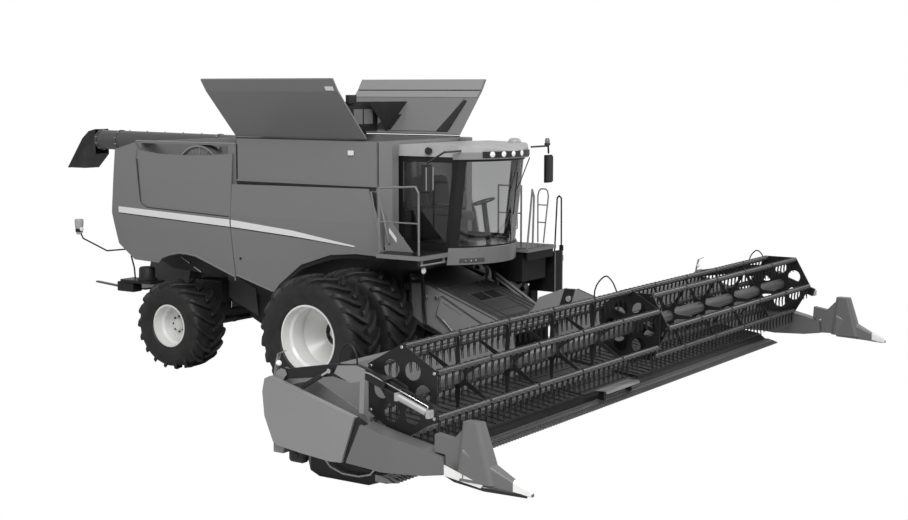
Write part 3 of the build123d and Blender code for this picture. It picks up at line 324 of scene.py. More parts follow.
def drive_tyre(name, middle, radius, bead, width, lugs, lug):
    """Casing and both rows of lugs, for a tyre that drives towards -Y."""
    middle = Vector(middle)
    h, base = width / 2, radius - lug
    wall = bead + (base - bead) * 0.52
    half = [(0.0, base), (0.45 * h, base - 0.004), (0.78 * h, base - 0.018), (0.9 * h, base - 0.045),
            (0.955 * h, base - 0.09), (0.985 * h, wall + 0.06), (h, wall), (0.975 * h, wall - 0.07),
            (0.9 * h, bead + 0.06), (0.9 * h, bead + 0.045), (0.84 * h, bead + 0.03),
            (0.8 * h, bead + 0.012), (0.78 * h, bead)]
    casing = turned(name, middle, X, half + [(-a, r) for a, r in half[:0:-1]], steps=72)
    # one lug on top of the casing, drawn out from the middle to the shoulder in steps of (across, back, rise)
    deep, long = lug + 0.03, radius * 0.082
    bpy.ops.object.select_all(action="DESELECT")
    bpy.ops.mesh.primitive_plane_add(size=1, location=middle + Vector((-0.02, -0.05, radius - deep / 2)),
                                     rotation=(0, pi / 2, 0))
    bar = settled("lug", (deep, long, 1))
    bpy.ops.object.mode_set(mode="EDIT")
    bpy.ops.mesh.select_all(action="SELECT")
    for across, back, rise in ((0.16, 0.035, 0.0), (0.22, 0.085, -0.004), (0.24, 0.13, -0.012),
                               (0.2, 0.13, -0.022), (0.13, 0.09, -0.036), (0.05, 0.03, -0.045)):
        draw((across * h, back * radius * 0.55, rise * radius))
    work(close(bar), "BEVEL", width=0.008, segments=1)
    about = Matrix.Translation(middle)
    half_step = Matrix.Rotation(pi / lugs, 4, "X")
    other = copy(bar, about @ half_step @ Matrix.Diagonal((-1, 1, 1, 1)) @ about.inverted())
    return gather(name, [casing, ring_of(bar, lugs, X, middle), ring_of(other, lugs, X, middle)])


FRONT_Y, FRONT_R, DUAL_X = -0.42, 1.02, (1.355, 2.355)
REAR_Y, REAR_R, REAR_X = 3.34, 0.8, 1.657
flip = Matrix.Diagonal((-1, 1, 1, 1))
inner = drive_tyre("front_left_tyre_pair", (DUAL_X[0], FRONT_Y, FRONT_R), FRONT_R, 0.532, 0.74, 21, 0.07)
outer = copy(inner, Matrix.Translation((DUAL_X[1] - DUAL_X[0], 0, 0)), "outer")
pair = gather("front_left_tyre_pair", [inner, outer])
steer = drive_tyre("rear_left_lug_tyre", (REAR_X, REAR_Y, REAR_R), REAR_R, 0.362, 0.75, 18, 0.062)
for piece, end, word in ((pair, "front", "tyres"), (steer, "rear", "tyre")):
    for side, made in (("left", piece), ("right", copy(piece, flip))):
        fit(made, f"{end}_{side}_wheel", tyre_rubber)
        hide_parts(f"{end}_{side}_{word}")

# ---- wheels ----
# Rolled and pressed steel wheels in gloss white enamel. Each hub has a flange with a ring of nuts and a cap
# in its middle.


def block(name, low, high, worked=0.004):
    """Box between two corners with its edges worked round."""
    low, high = Vector(low), Vector(high)
    bpy.ops.object.select_all(action="DESELECT")
    bpy.ops.mesh.primitive_cube_add(size=1, location=(low + high) / 2)
    return work(settled(name, high - low), "BEVEL", width=worked, segments=2)


def stud(name, middle, radius, length, axis="X", sides=6):
    """Hexagon nut or short round pin with worked edges, along an axis."""
    turn = {"X": (0, pi / 2, 0), "Y": (pi / 2, 0, 0), "Z": (0, 0, 0)}[axis]
    bpy.ops.object.select_all(action="DESELECT")
    bpy.ops.mesh.primitive_cylinder_add(vertices=sides, radius=radius, depth=length, rotation=turn,
                                        location=middle)
    return work(settled(name), "BEVEL", width=0.003)


def both_sides(piece, body, finish):
    """Fits a left hand piece and its mirrored twin; body has the word left in it where the two differ."""
    twin = copy(piece, flip)
    fit(piece, body, finish)
    fit(twin, body.replace("left", "right"), finish)


white_enamel = enamel("gloss white wheel enamel", "white_rim_paint", "EEEEEC", "D0D0CC", 0.3, 0.4)
dress(white_enamel, "front_left_rims", "front_right_rims", "rear_left_rim", "rear_right_rim")
WHEELS = (
    # end, hub face x, y, z, flange radius and finish, nuts, nut radius
    ("front", 1.913, FRONT_Y, FRONT_R, 0.225, black_enamel, 12, 0.021),
    ("rear", 1.681, REAR_Y, REAR_R, 0.185, white_enamel, 8, 0.019),
)
CAP = ((0.028, 0.112), (0.05, 0.112), (0.066, 0.1), (0.084, 0.07), (0.088, 0.001), (0.028, 0.001))
for end, x, y, z, radius, finish, nuts, size in WHEELS:
    middle, body = Vector((x, y, z)), f"{end}_left_wheel"
    rings = [(0, radius), (0.012, radius), (0.02, radius - 0.012), (0.02, radius - 0.085),
             (0.03, radius - 0.095), (0.03, 0.1), (0, 0.1)]
    both_sides(turned(f"{end}_left_hub_flange", middle, X, rings, 48), body, finish)
    both_sides(turned(f"{end}_left_hub_cap", middle, X, CAP, 32), body, white_enamel)
    nut = stud(f"{end}_left_wheel_nuts", middle + Vector((0.034, 0, radius - 0.045)), size, 0.034)
    both_sides(ring_of(nut, nuts, X, middle), body, black_enamel)

# ---- trim on the side panels ----
# A white band of vinyl film with a dark lower edge tapers forward along both sides. Each panel carries its
# own length of it, 2 mm proud, and a pressed rib runs above it on the front panel.


def plate(name, outline, push):
    """Flat plate: an outline filled with one face and drawn out by push."""
    made = trace(name, outline)
    bpy.ops.mesh.edge_face_add()
    draw(push)
    return close(made)


def panel_x(z):
    """Half width over the side panels at a height."""
    for (z0, x0), (z1, x1) in zip(PANEL_SECTION, PANEL_SECTION[1:]):
        if z <= z1:
            return x0 + (x1 - x0) * (z - z0) / (z1 - z0)
    return x1


PANEL_SECTION = ((1.4, 1.395), (2.000, 1.433), (2.44, 1.451), (2.78, 1.455), (3.4, 1.433), (4.1, 1.395))
white_film = enamel("white vinyl film", "white_rim_paint", "F0F0F0", "A8A8A6", 0.3, 0.2)
dark_film = enamel("dark vinyl film", "dark_paint", "141414", "3A3A3A", 0.3, 0.2)
BANDS = (
    # name, panel, finish, corners (y, z)
    ("rear_white_band", "rear", white_film, [(5.09, 2.81), (2.335, 2.7), (2.33, 2.575), (5.09, 2.7)]),
    ("rear_band_edge", "rear", dark_film, [(5.09, 2.699), (2.33, 2.574), (2.33, 2.558), (5.09, 2.683)]),
    ("front_white_band", "front", white_film,
     [(2.3, 2.7), (0.9, 2.585), (-0.42, 2.405), (-0.45, 2.388), (-0.4, 2.382), (0.9, 2.49),
      (2.298, 2.575)]),
    ("front_band_edge", "front", dark_film,
     [(2.298, 2.574), (0.9, 2.489), (-0.4, 2.381), (-0.44, 2.387), (-0.44, 2.372), (0.9, 2.471),
      (2.298, 2.556)]),
    ("front_pressed_rib", "front", body_enamel,
     [(2.31, 2.777), (1.00, 2.635), (-0.33, 2.437), (-0.33, 2.427), (1.00, 2.621), (2.31, 2.76)]),
)
for name, panel, finish, corners in BANDS:
    film = plate("left_" + name, [(panel_x(z) + 0.0005, y, z) for y, z in corners], (0.002, 0, 0))
    both_sides(film, f"left_{panel}_panel", finish)

# ---- reel bats and tines ----
# Black nylon tines hang from every bat: two fingers from a coiled root, one set each 150 mm. A folded steel
# strip is bolted along the bat's front between the spiders, and keeps straw from winding round the roots.


def plastic(name, slot, colour, rough):
    """Moulded ABS or nylon: even colour, fine 1 mm grain drawn at 5 mm so that it shows."""
    made, shader, where = begin(name, slot)
    cloud = add(made, "ShaderNodeTexNoise", {"Vector": where, "Scale": 3.0, "Detail": 5.0})
    lighter = [min(1.0, c * 1.6 + 0.01) for c in linear(colour)[:3]] + [1.0]
    tone = add(made, "ShaderNodeMix", {0: cloud.outputs["Fac"], 6: linear(colour), 7: lighter},
               data_type="RGBA")
    grain = add(made, "ShaderNodeTexNoise", {"Vector": where, "Scale": 200.0, "Detail": 2.0})
    relief = add(made, "ShaderNodeBump", {"Height": grain.outputs["Fac"], "Strength": 0.15, "Distance": 0.001})
    feed(made, shader, {"Base Color": tone.outputs[2], "Roughness": rough, "Normal": relief.outputs[0]})
    return made


def row(piece, count, step):
    """Repeats a piece in a straight line."""
    return work(piece, "ARRAY", count=count, use_relative_offset=False, use_constant_offset=True,
                constant_offset_displace=step)


def bat_start(side, i):
    """Low end of a bat's X, and its middle's Y and Z."""
    low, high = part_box(f"reel_{side}_bat_{i}")
    return low.x, (low.y + high.y) / 2 - SHIFT_Y, (low.z + high.z) / 2


black_nylon = plastic("moulded black nylon", "black_plastic", "121212", 0.45)
bat_enamel = enamel("reel bat enamel", "dark_paint", "434343", "6C6C6A", 0.4, 0.1)
TINE_STEP, TINES, SPAN, SPANS = 0.15, 40, 1.2, 5      # strips and spiders share the bat's five spans
bpy.ops.object.select_all(action="DESELECT")
bpy.ops.mesh.primitive_cylinder_add(vertices=6, radius=0.049, depth=0.085, rotation=(0, pi / 2, 0))
clip = settled("clip")
fingers = []
for x in (-0.017, 0.017):
    finger = trace("finger", [(x + a, b, -0.02) for a, b in ((-0.004, -0.008), (0.004, -0.008), (0.004, 0.008),
                                                            (-0.004, 0.008))])
    bpy.ops.mesh.edge_face_add()
    for dy, dz, size in ((0.012, -0.11, 0.85), (-0.004, -0.1, 0.6)):
        draw((0, dy, dz), (size, size, 1), (x, dy, 0))
    fingers.append(close(finger))
tines = row(gather("tine", [clip, *fingers]), TINES, (TINE_STEP, 0, 0))
strip = trace("strip", [(0, 0.012, 0.034), (0, -0.03, 0.034), (0, -0.04, 0.024), (0, -0.04, -0.018)])
draw((SPAN - 0.06, 0, 0))
bpy.ops.object.mode_set(mode="OBJECT")
strips = row(work(strip, "SOLIDIFY", thickness=0.004, offset=0), SPANS, (SPAN, 0, 0))
for side, strip_x in (("right", -6.07), ("left", 0.11)):
    for i in range(1, 7):
        x, y, z = bat_start(side, i)
        for word, made, start, finish in (("tines", tines, x + 0.12, black_nylon),
                                          ("strips", strips, strip_x, bat_enamel)):
            piece = copy(made, Matrix.Translation((start, y, z)), f"reel_{side}_{word}_{i}")
            fit(piece, f"reel_{side}_bat_{i}", finish)
        dress(bat_enamel, f"reel_{side}_bat_{i}")
bpy.data.objects.remove(tines)
bpy.data.objects.remove(strips)

# ---- grain tank trim, covers' seals and screen ----
# Black rubber seals close the gaps under the covers and over the side panels; the black strip on the tank's
# seam is partly painted shadow, the shade in the gap under the tank's step. Panes of clear sheet in the tank
# screen let the driver see the grain. The covers are lined, and banded in a lighter enamel at their lips.
seal_rubber = rubber("extruded seal rubber", "black_plastic", "101010", "2A2A29", 0.55)
screen_rubber = rubber("moulded screen sheet", "black_plastic", "161616", "2A2A29", 0.6)
pane = plastic("smoked polycarbonate sheet", "tinted_glass", "6E6E6E", 0.15)
band_enamel = enamel("cover band enamel", "body_paint", "989898", "A2A2A0", 0.3, 0.3)
dress(screen_rubber, "tank_screen", "rear_tank_flap")
for name, low, high, worked, finish in (
    # corners x, y, z
    ("left_cover_seal", (1.368, -0.61, 4.121), (1.39, 2.21, 4.138), 0.003, seal_rubber),
    # painted shadow: the black of this seam strip stands partly for the shade in the gap under the tank's step
    ("left_tank_seam_seal", (1.381, -0.83, 3.325), (1.398, 2.19, 3.38), 0.003, seal_rubber),
    ("left_hood_seam_seal", (1.35, 2.185, 3.36), (1.385, 2.218, 4.02), 0.003, seal_rubber),
    ("left_band_lamp", (1.392, -0.385, 3.885), (1.408, -0.265, 3.965), 0.006, white_film),
):
    both_sides(block(name, low, high, worked), "chassis", finish)
# the screen is widened by a sheet of its own, with two windows on each side of the middle
for name, y, thick, finish, corners in (
    ("sheet", 1.18, 0.006, screen_rubber, ((0.0, 4.2), (1.3, 4.2), (1.345, 4.735), (0.0, 4.735))),
    ("outer_pane", 1.172, 0.004, pane, ((0.9, 4.33), (1.16, 4.33), (1.16, 4.6), (0.9, 4.6))),
    ("inner_pane", 1.172, 0.004, pane, ((0.6, 4.33), (0.86, 4.33), (0.86, 4.6), (0.6, 4.6))),
):
    part = plate("left_screen_" + name, [(x, y, z) for x, z in corners], (0, -thick, 0))
    both_sides(part, "tank_screen", finish)
fit(block("screen_lamp_case", (0.36, 1.1, 4.7), (0.6, 1.17, 4.86), 0.01), "tank_screen", seal_rubber)
# a gusset on each cover closes the corner between cover and screen
GUSSET = ((1.372, 0.997, 4.19), (1.86, 0.9, 4.735), (0.92, 1.086, 4.735))
both_sides(plate("left_cover_gusset", GUSSET, (0, -0.005, 0)), "left_tank_cover", screen_rubber)


COVER_TURN, LIP_TURN = radians(47), radians(56)
COVER_X, COVER_Z, COVER_WIDE = 1.3524, 4.1664, 1.064        # hinge, and width up to the lip


def on_cover(u, y, h=0.0):
    """Point on the left cover's inner face, u metres up from its hinge and h above the face."""
    c, s = cos(COVER_TURN), sin(COVER_TURN)
    return Vector((COVER_X + u * c - h * s, y, COVER_Z + u * s + h * c))


for name, finish, low, high, outline in (
    # faces in metres above the cover's, outline (u, y)
    ("lining", body_enamel, 0.0005, 0.014, ((0.05, -0.12), (0.86, -0.34), (0.86, 2.1), (0.05, 2.1))),
    ("band", band_enamel, 0.0005, 0.01, ((0.88, -0.6), (1.035, -0.6), (1.035, 2.2), (0.88, 2.2))),
    # painted shade: the dark strip in the groove by the lip stands for the shade in the groove
    ("groove", dark_film, 0.0005, 0.003, ((1.036, -0.6), (1.062, -0.6), (1.062, 2.2), (1.036, 2.2))),
    ("patch", screen_rubber, 0.0145, 0.018, ((0.06, 0.93), (0.44, 0.86), (0.44, 1.02), (0.06, 1.45))),
    # painted shadow: the dark strip along the lining's front edge is a low rib whose black stands for the
    # shadow it casts
    ("rib_shadow_strip", seal_rubber, 0.0005, 0.022, ((0.8, -0.36), (0.79, -0.42), (0.05, -0.34), (0.05, -0.1))),
):
    skin = plate("left_cover_" + name, [on_cover(u, y, low) for u, y in outline],
                 on_cover(0, 0, high) - on_cover(0, 0, low))
    both_sides(skin, "left_tank_cover", finish)
for name, finish, start, push, outline in (
    # start of the lip, outline (metres up the lip, y)
    ("lip_skin", band_enamel, on_cover(COVER_WIDE, 0) + Vector((-0.003, 0, 0.002)), (-0.006, 0, 0.004),
     ((0.0, -0.6), (0.225, -0.6), (0.225, 2.2), (0.0, 2.2))),
    ("reflector", white_film, Vector((2.095, 0, 4.924)), (0.008, 0, -0.005),
     ((0.03, -0.56), (0.1, -0.56), (0.1, -0.4), (0.03, -0.4))),
):
    up = Vector((cos(LIP_TURN), 0, sin(LIP_TURN)))
    skin = plate("left_cover_" + name, [start + up * v + Vector((0, y, 0)) for v, y in outline], push)
    both_sides(skin, "left_tank_cover", finish)

# ---- engine deck and air screen ----
# Cooling air enters through a rotary screen of punched sheet in a rolled steel ring, at the right of the deck.
# A galvanised rail runs along the deck's edge, and the exhaust pipe stands behind the tank.


def metal(name, slot, colour, rough, grain):
    """Bare metal: colour and gloss vary in cloudy patches, grain is their number in a metre."""
    made, shader, where = begin(name, slot)
    cloud = add(made, "ShaderNodeTexNoise", {"Vector": where, "Scale": grain, "Detail": 4.0})
    darker = [c * 0.72 for c in linear(colour)[:3]] + [1.0]
    tone = add(made, "ShaderNodeMix", {0: cloud.outputs["Fac"], 6: linear(colour), 7: darker},
               data_type="RGBA")
    gloss = add(made, "ShaderNodeMapRange", {0: cloud.outputs["Fac"], 1: 0.3, 2: 0.7, 3: rough,
                                             4: rough + 0.12})
    feed(made, shader, {"Metallic": 1.0, "Base Color": tone.outputs[2], "Roughness": gloss.outputs[0]})
    return made


def tube(name, points, radius, sides=8):
    """Bent round bar: a line of edges given a round section."""
    line = trace(name, points)
    bpy.ops.object.mode_set(mode="OBJECT")
    only(line)
    bpy.ops.object.convert(target="CURVE")
    bar = bpy.context.object
    bar.data.bevel_depth, bar.data.bevel_resolution, bar.data.use_fill_caps = radius, sides // 4, True
    bpy.ops.object.convert(target="MESH")
    bpy.ops.object.shade_smooth_by_angle(angle=radians(50))
    return bpy.context.object


galvanised = metal("galvanised steel", "plate_steel", "C4C4C2", 0.34, 30.0)
zinc = metal("zinc plated steel", "plate_steel", "D8D8D6", 0.26, 60.0)
chrome = metal("hard chrome", "rod_chrome", "E2E2E4", 0.08, 12.0)
HUB, STACK = Vector((-1.345, 3.15, 3.42)), Vector((-0.62, 3.35, 3.4))
for name, middle, axis, steps, finish, profile in (
    ("air_screen_ring", HUB, X, 64, galvanised, ((0, 0.525), (-0.014, 0.53), (-0.014, 0.556), (0, 0.56))),
    ("air_screen_boss", HUB, X, 32, black_enamel,
     ((0.044, 0.001), (0.044, 0.12), (0.02, 0.11), (0.008, 0.06), (0.008, 0.001))),
    ("exhaust_pipe", STACK, Z, 32, galvanised, ((0, 0.075), (0.52, 0.075), (0.52, 0.068), (0.02, 0.068))),
    ("exhaust_muffler", STACK, Z, 32, black_enamel,
     ((0, 0.076), (0.01, 0.16), (0.03, 0.17), (0.3, 0.17), (0.32, 0.16), (0.33, 0.076))),
):
    fit(turned(name, middle, axis, profile, steps), "chassis", finish)
low, high = HUB + Vector((0.036, -0.008, 0.09)), HUB + Vector((0.042, 0.008, 0.525))
fit(ring_of(block("air_screen_spokes", low, high, 0.002), 16, X, HUB), "chassis", galvanised)
for side, x in (("right", -1.352), ("left", 1.352)):
    fit(tube(f"{side}_deck_rail", [(x, y, 4.022) for y in (2.25, 3.4, 4.7)], 0.013), "chassis", galvanised)

# ---- unloading tube trim ----
# A rolled steel tube with bolted collars and a row of carrier bolts along its top. The spout is moulded from
# flexible black rubber so that it gives way when it meets a trailer.
spout_rubber = rubber("moulded spout rubber", "black_plastic", "1C1C1C", "3C3C3B", 0.5)
tube_enamel = enamel("unloading tube enamel", "dark_paint", "4E4E4E", "6C6C6A", 0.36, 0.2)
dress(tube_enamel, "unloading_auger")
dress(spout_rubber, "auger_spout")
TUBE_RISE = 0.09 / 7.85
bolt = stud("auger_top_bolts", (1.63, 1.75, 4.006), 0.016, 0.03, "Z")
fit(row(bolt, 13, (0, 0.52, 0.52 * TUBE_RISE)), "unloading_auger", zinc)
for k, y in enumerate((1.33, 5.4, 8.24, 8.82)):
    centre = Vector((1.63, y, 3.79 + (y - 1.0) * TUBE_RISE))
    bolt = stud(f"auger_collar_bolts_{k + 1}", centre + Vector((0, 0, 0.213)), 0.011, 0.062, "Y")
    fit(ring_of(bolt, 10, Y, centre), "unloading_auger", zinc)

# ---- cab ----
# A welded pillar frame in black enamel, glazed all round with tinted safety glass, under a moulded roof. A
# bowed apron of body sheet closes the floor's front, and a valance carries four work lights.
glass, clear, where = begin("tinted safety glass", "tinted_glass")
haze = add(glass, "ShaderNodeTexNoise", {"Vector": where, "Scale": 2.5, "Detail": 5.0})
dust = add(glass, "ShaderNodeMapRange", {0: haze.outputs["Fac"], 1: 0.4, 2: 0.8, 3: 0.0, 4: 0.02})
tint = add(glass, "ShaderNodeMix", {0: haze.outputs["Fac"], 6: linear("FEFEFE"), 7: linear("F9FAFA")},
           data_type="RGBA")
feed(glass, clear, {"Transmission Weight": 1.0, "IOR": 1.5, "Roughness": dust.outputs[0],
                    "Base Color": tint.outputs[2]})
roof_plastic = plastic("moulded roof plastic", "roof_plastic", "9C9C9C", 0.32)
# painted shade: the valance is coloured darker than the roof to stand for the shade on the roof's side, which
# faces away from the light
valance_plastic_shaded = plastic("moulded grey ABS with painted shade", "roof_plastic", "787878", 0.35)
black_abs = plastic("moulded black ABS", "black_plastic", "151515", 0.4)
apron_enamel = enamel("cab apron enamel", "body_paint", "7C7C7C", "8E8E8E", 0.3, 0.3)
lamp_glass = plastic("moulded lamp glass", "tinted_glass", "FAFAFA", 0.1)
dress(glass, "cab_windows", "cab_door_glass")
dress(roof_plastic, "cab_roof")


def bow(radius, rear, turn0, turn1, z, steps):
    """Points round the cab's bowed front, from one direction to another in degrees left of straight ahead."""
    turns = [radians(turn0 + (turn1 - turn0) * i / steps) for i in range(steps + 1)]
    return [Vector((radius * sin(t), rear - radius * cos(t), z)) for t in turns]


def sheet(name, line, push, thick):
    """Sheet metal drawn from a line of points along push, with a wall thickness and worked edges."""
    made = trace(name, line)
    draw(push)
    work(close(made), "SOLIDIFY", thickness=thick, offset=0)
    work(made, "BEVEL", width=0.004, limit_method="ANGLE", angle_limit=radians(60))
    bpy.ops.object.shade_smooth_by_angle(angle=radians(35))
    return made


FLOOR_R, FLOOR_Y, ROOF_R, ROOF_Y = 1.24, -1.212, 1.268, -1.403     # radius of each bow, and its middle
for name, finish, circle, push, thick in (
    # circle: radius, middle's y, first and last direction, z, steps
    ("cab_apron", apron_enamel, (FLOOR_R, FLOOR_Y, -52, 52, 2.415, 16), (0, 0.034, -0.278), 0.014),
    # painted shade: the darker plate over the apron's recess stands for the shade inside the recess
    ("apron_recess_shade", tube_enamel, (FLOOR_R + 0.006, FLOOR_Y + 0.02, -43, -22, 2.245, 6), (0, 0.008, -0.075),
     0.006),
    ("roof_valance", valance_plastic_shaded, (ROOF_R, ROOF_Y, -56, 56, 3.962, 24), (0, 0, -0.115), 0.014),
    ("work_light_housing", black_abs, (ROOF_R + 0.014, ROOF_Y, -34, 24, 3.972, 16), (0, 0, -0.098), 0.022),
):
    fit(sheet(name, bow(*circle), push, thick), "chassis", finish)
for turn in (-38, -34, -30):
    spot = bow(FLOOR_R + 0.012, FLOOR_Y + 0.02, turn, turn, 2.2, 1)[0]
    fit(stud(f"apron_bolt_{-turn}", spot, 0.02, 0.02, "Y"), "chassis", zinc)
LENS = ((0, 0.001), (0, 0.047), (0.008, 0.047), (0.016, 0.036), (0.021, 0.001))
for k, turn in enumerate((-26.5, -16.5, -6.5, 4.5)):
    spot = bow(ROOF_R + 0.022, ROOF_Y, turn, turn, 3.925, 1)[0]
    ahead = (sin(radians(turn)), -cos(radians(turn)), 0)
    fit(turned(f"work_light_{k + 1}", spot, ahead, LENS), "chassis", lamp_glass)
SIDE_LIGHT = ((0, 0.001), (0, 0.05), (0.05, 0.062), (0.06, 0.06), (0.062, 0.001))
BEACON = (1.53, -2.33, 4.0)
for name, middle, axis, steps, finish, profile in (
    ("roof_right_side_light", (-0.985, -1.62, 3.975), (-1, 0, 0), 24, black_abs, SIDE_LIGHT),
    ("roof_left_side_light", (0.985, -1.62, 3.975), X, 24, black_abs, SIDE_LIGHT),
    ("aerial_dome", (0.8, -2.12, 4.062), Z, 32, roof_plastic,
     ((0, 0.001), (0, 0.105), (0.012, 0.11), (0.045, 0.104), (0.07, 0.08), (0.082, 0.04), (0.084, 0.001))),
    ("beacon_base", BEACON, Z, 24, black_abs,
     ((0, 0.001), (0, 0.05), (0.03, 0.052), (0.045, 0.042), (0.045, 0.001))),
    ("beacon_lens", BEACON, Z, 24, pane,
     ((0.046, 0.001), (0.046, 0.042), (0.1, 0.042), (0.125, 0.03), (0.13, 0.001))),
):
    fit(turned(name, middle, axis, profile, steps), "chassis", finish)
wiper = tube("wiper_arm", [(0.46, -2.625, 3.84), (0.2, -2.6, 3.44), (0.1, -2.575, 3.3)], 0.009)
fit(wiper, "chassis", black_enamel)
blade = tube("wiper_blade", [(0.1, -2.615, 3.62), (0.1, -2.58, 3.3), (0.1, -2.535, 2.92)], 0.011)
fit(blade, "chassis", black_abs)

# ---- driver's place ----
# A sprung seat trimmed in woven cloth over moulded foam, a console beside it and a column with the wheel.
# The console and the shelf behind the seat are moulded in black ABS and screwed to the floor.
cloth, weave, where = begin("woven seat cloth", "seat_fabric")
# yarns are 1 mm apart, drawn at 8 mm so that they show
yarn = add(cloth, "ShaderNodeTexWave", {"Vector": where, "Scale": 40.0, "Distortion": 1.5, "Detail": 2.0})
tone = add(cloth, "ShaderNodeMix", {0: yarn.outputs["Fac"], 6: linear("1E1E1E"), 7: linear("383838")},
           data_type="RGBA")
raised = add(cloth, "ShaderNodeBump", {"Height": yarn.outputs["Fac"], "Strength": 0.4, "Distance": 0.002})
feed(cloth, weave, {"Base Color": tone.outputs[2], "Normal": raised.outputs[0], "Roughness": 0.85,
                    "Sheen Weight": 0.3})
dress(cloth, "cab_interior")
for name, low, high in (
    ("console_box", (-0.6, -1.75, 2.5), (-0.36, -1.15, 3.02)),
    ("console_screen", (-0.66, -1.95, 3.05), (-0.4, -1.9, 3.3)),
    ("rear_shelf", (-0.86, -1.02, 2.45), (0.86, -0.965, 2.98)),
):
    fit(block(name, low, high, 0.012), "chassis", black_abs)

# ---- seat pads ----
# Moulded foam under woven cloth, pulled over the seat's pan and back. Each pad is crowned, and its sides draw
# in between the corners.


def pad(name, middle, half_x, half_y, thick, lean):
    """Crowned pad round middle, made lying and leaned about X."""
    middle, outline = Vector(middle), []
    for i in range(24):
        turn = tau * i / 24
        pull = 1 - 0.03 * cos(2 * turn) ** 2
        c, s = cos(turn), sin(turn)
        outline.append(middle + Vector((half_x * pull * (abs(c) ** 0.5) * (1 if c > 0 else -1),
                                        half_y * pull * (abs(s) ** 0.5) * (1 if s > 0 else -1), -thick / 2)))
    made = trace(name, outline)
    bpy.ops.mesh.edge_face_add()
    for rise, size in ((0.2, 1.06), (0.5, 1.0), (0.2, 0.9), (0.1, 0.55)):
        draw((0, 0, thick * rise), (size, size, 1), middle)
    bpy.ops.mesh.select_all(action="SELECT")
    bpy.ops.transform.rotate(value=-lean, orient_axis="X", center_override=middle)
    work(close(made), "SUBSURF", levels=2, render_levels=2)
    bpy.ops.object.shade_smooth()
    return made


for name, middle, half_x, half_y, thick, lean in (
    ("seat_cushion", (0, -1.465, 2.862), 0.25, 0.26, 0.17, 0),
    ("seat_backrest", (0, -1.125, 3.175), 0.25, 0.345, 0.17, radians(79.2)),
):
    piece = pad(name, middle, half_x, half_y, thick, lean)
    fit(piece, "chassis", cloth)

# ---- platforms and rails ----
# Bent steel tube rails, welded to deck frames with a light folded edge. Punched black tread plates lie on the
# decks, and a second bar runs under the right deck's front edge.
rail_enamel = enamel("rail enamel", "chassis_paint", "7E7E7E", "8E8E8C", 0.32, 0.2)
dress(rail_enamel, "access_platform")
for name, low, high, finish in (
    ("left_tread_plate", (1.00, -2.27, 2.241), (1.88, -1.105, 2.249), black_enamel),
    ("right_tread_plate", (-1.71, -1.95, 2.346), (-1.00, -1.105, 2.354), black_enamel),
    ("left_deck_skirt", (0.99, -2.27, 2.04), (1.86, -2.235, 2.178), black_enamel),
    ("left_deck_box", (1.02, -2.15, 1.66), (1.8, -1.52, 2.178), black_enamel),
    ("right_deck_skirt", (-1.71, -1.93, 2.16), (-1.00, -1.9, 2.273), black_enamel),
    ("right_deck_bracket_166", (-1.69, -1.94, 2.18), (-1.63, -1.88, 2.27), rail_enamel),
    ("right_deck_bracket_105", (-1.08, -1.94, 2.18), (-1.02, -1.88, 2.27), rail_enamel),
):
    fit(block(name, low, high), "chassis", finish)
for name, radius, points in (
    ("left_hoop", 0.013, [(1.9, -1.93, 2.26), (1.9, -1.925, 3.09), (1.9, -1.95, 3.18), (1.9, -1.99, 3.215),
                          (1.9, -2.08, 3.215), (1.9, -2.125, 3.18), (1.9, -2.14, 3.09), (1.9, -2.045, 2.26)]),
    ("left_hoop_bar_low", 0.011, [(1.9, -1.925, 2.62), (1.9, -2.09, 2.62)]),
    ("left_hoop_bar_high", 0.011, [(1.9, -1.92, 2.93), (1.9, -2.135, 2.93)]),
    ("left_rail_bar", 0.012, [(1.9, -1.11, 2.76), (1.9, -1.58, 2.76)]),
    ("right_rail_bar", 0.012, [(-1.69, -1.12, 2.86), (-1.69, -1.9, 2.86)]),
    ("right_deck_second_bar", 0.016, [(-1.69, -1.9, 2.2), (-1.66, -1.955, 2.2), (-1.05, -1.955, 2.2)]),
    ("right_tank_grab", 0.016, [(-1.42, -0.9, 3.34), (-1.46, -0.93, 3.31), (-1.46, -1.14, 2.5),
                                (-1.42, -1.12, 2.47)]),
    ("right_tank_trim", 0.016, [(-1.43, -0.76, 3.31), (-1.46, -0.99, 2.36)]),
    ("left_corner_grab", 0.011, [(1.02, -1.98, 3.1), (1.06, -2.02, 3.08), (1.06, -2.02, 2.58),
                                 (1.02, -1.98, 2.56)]),
):
    fit(tube(name, points, radius), "chassis", rail_enamel)


def upright(name, x, thick, outline):
    """Flat plate that stands across the machine's width at x, from an outline (y, z)."""
    return plate(name, [(x, y, z) for y, z in outline], (thick, 0, 0))


# corner sheet behind the right rail, folded along its front edge
sheet_line = ((-1.03, 2.36), (-1.6, 2.36), (-1.03, 2.98))
fit(upright("right_corner_sheet", -1.42, 0.006, sheet_line), "chassis", body_enamel)
mark = ((-1.12, 2.74), (-1.27, 2.58), (-1.27, 2.5), (-1.12, 2.66))
fit(upright("right_corner_reflector", -1.424, -0.003, mark), "chassis", white_film)

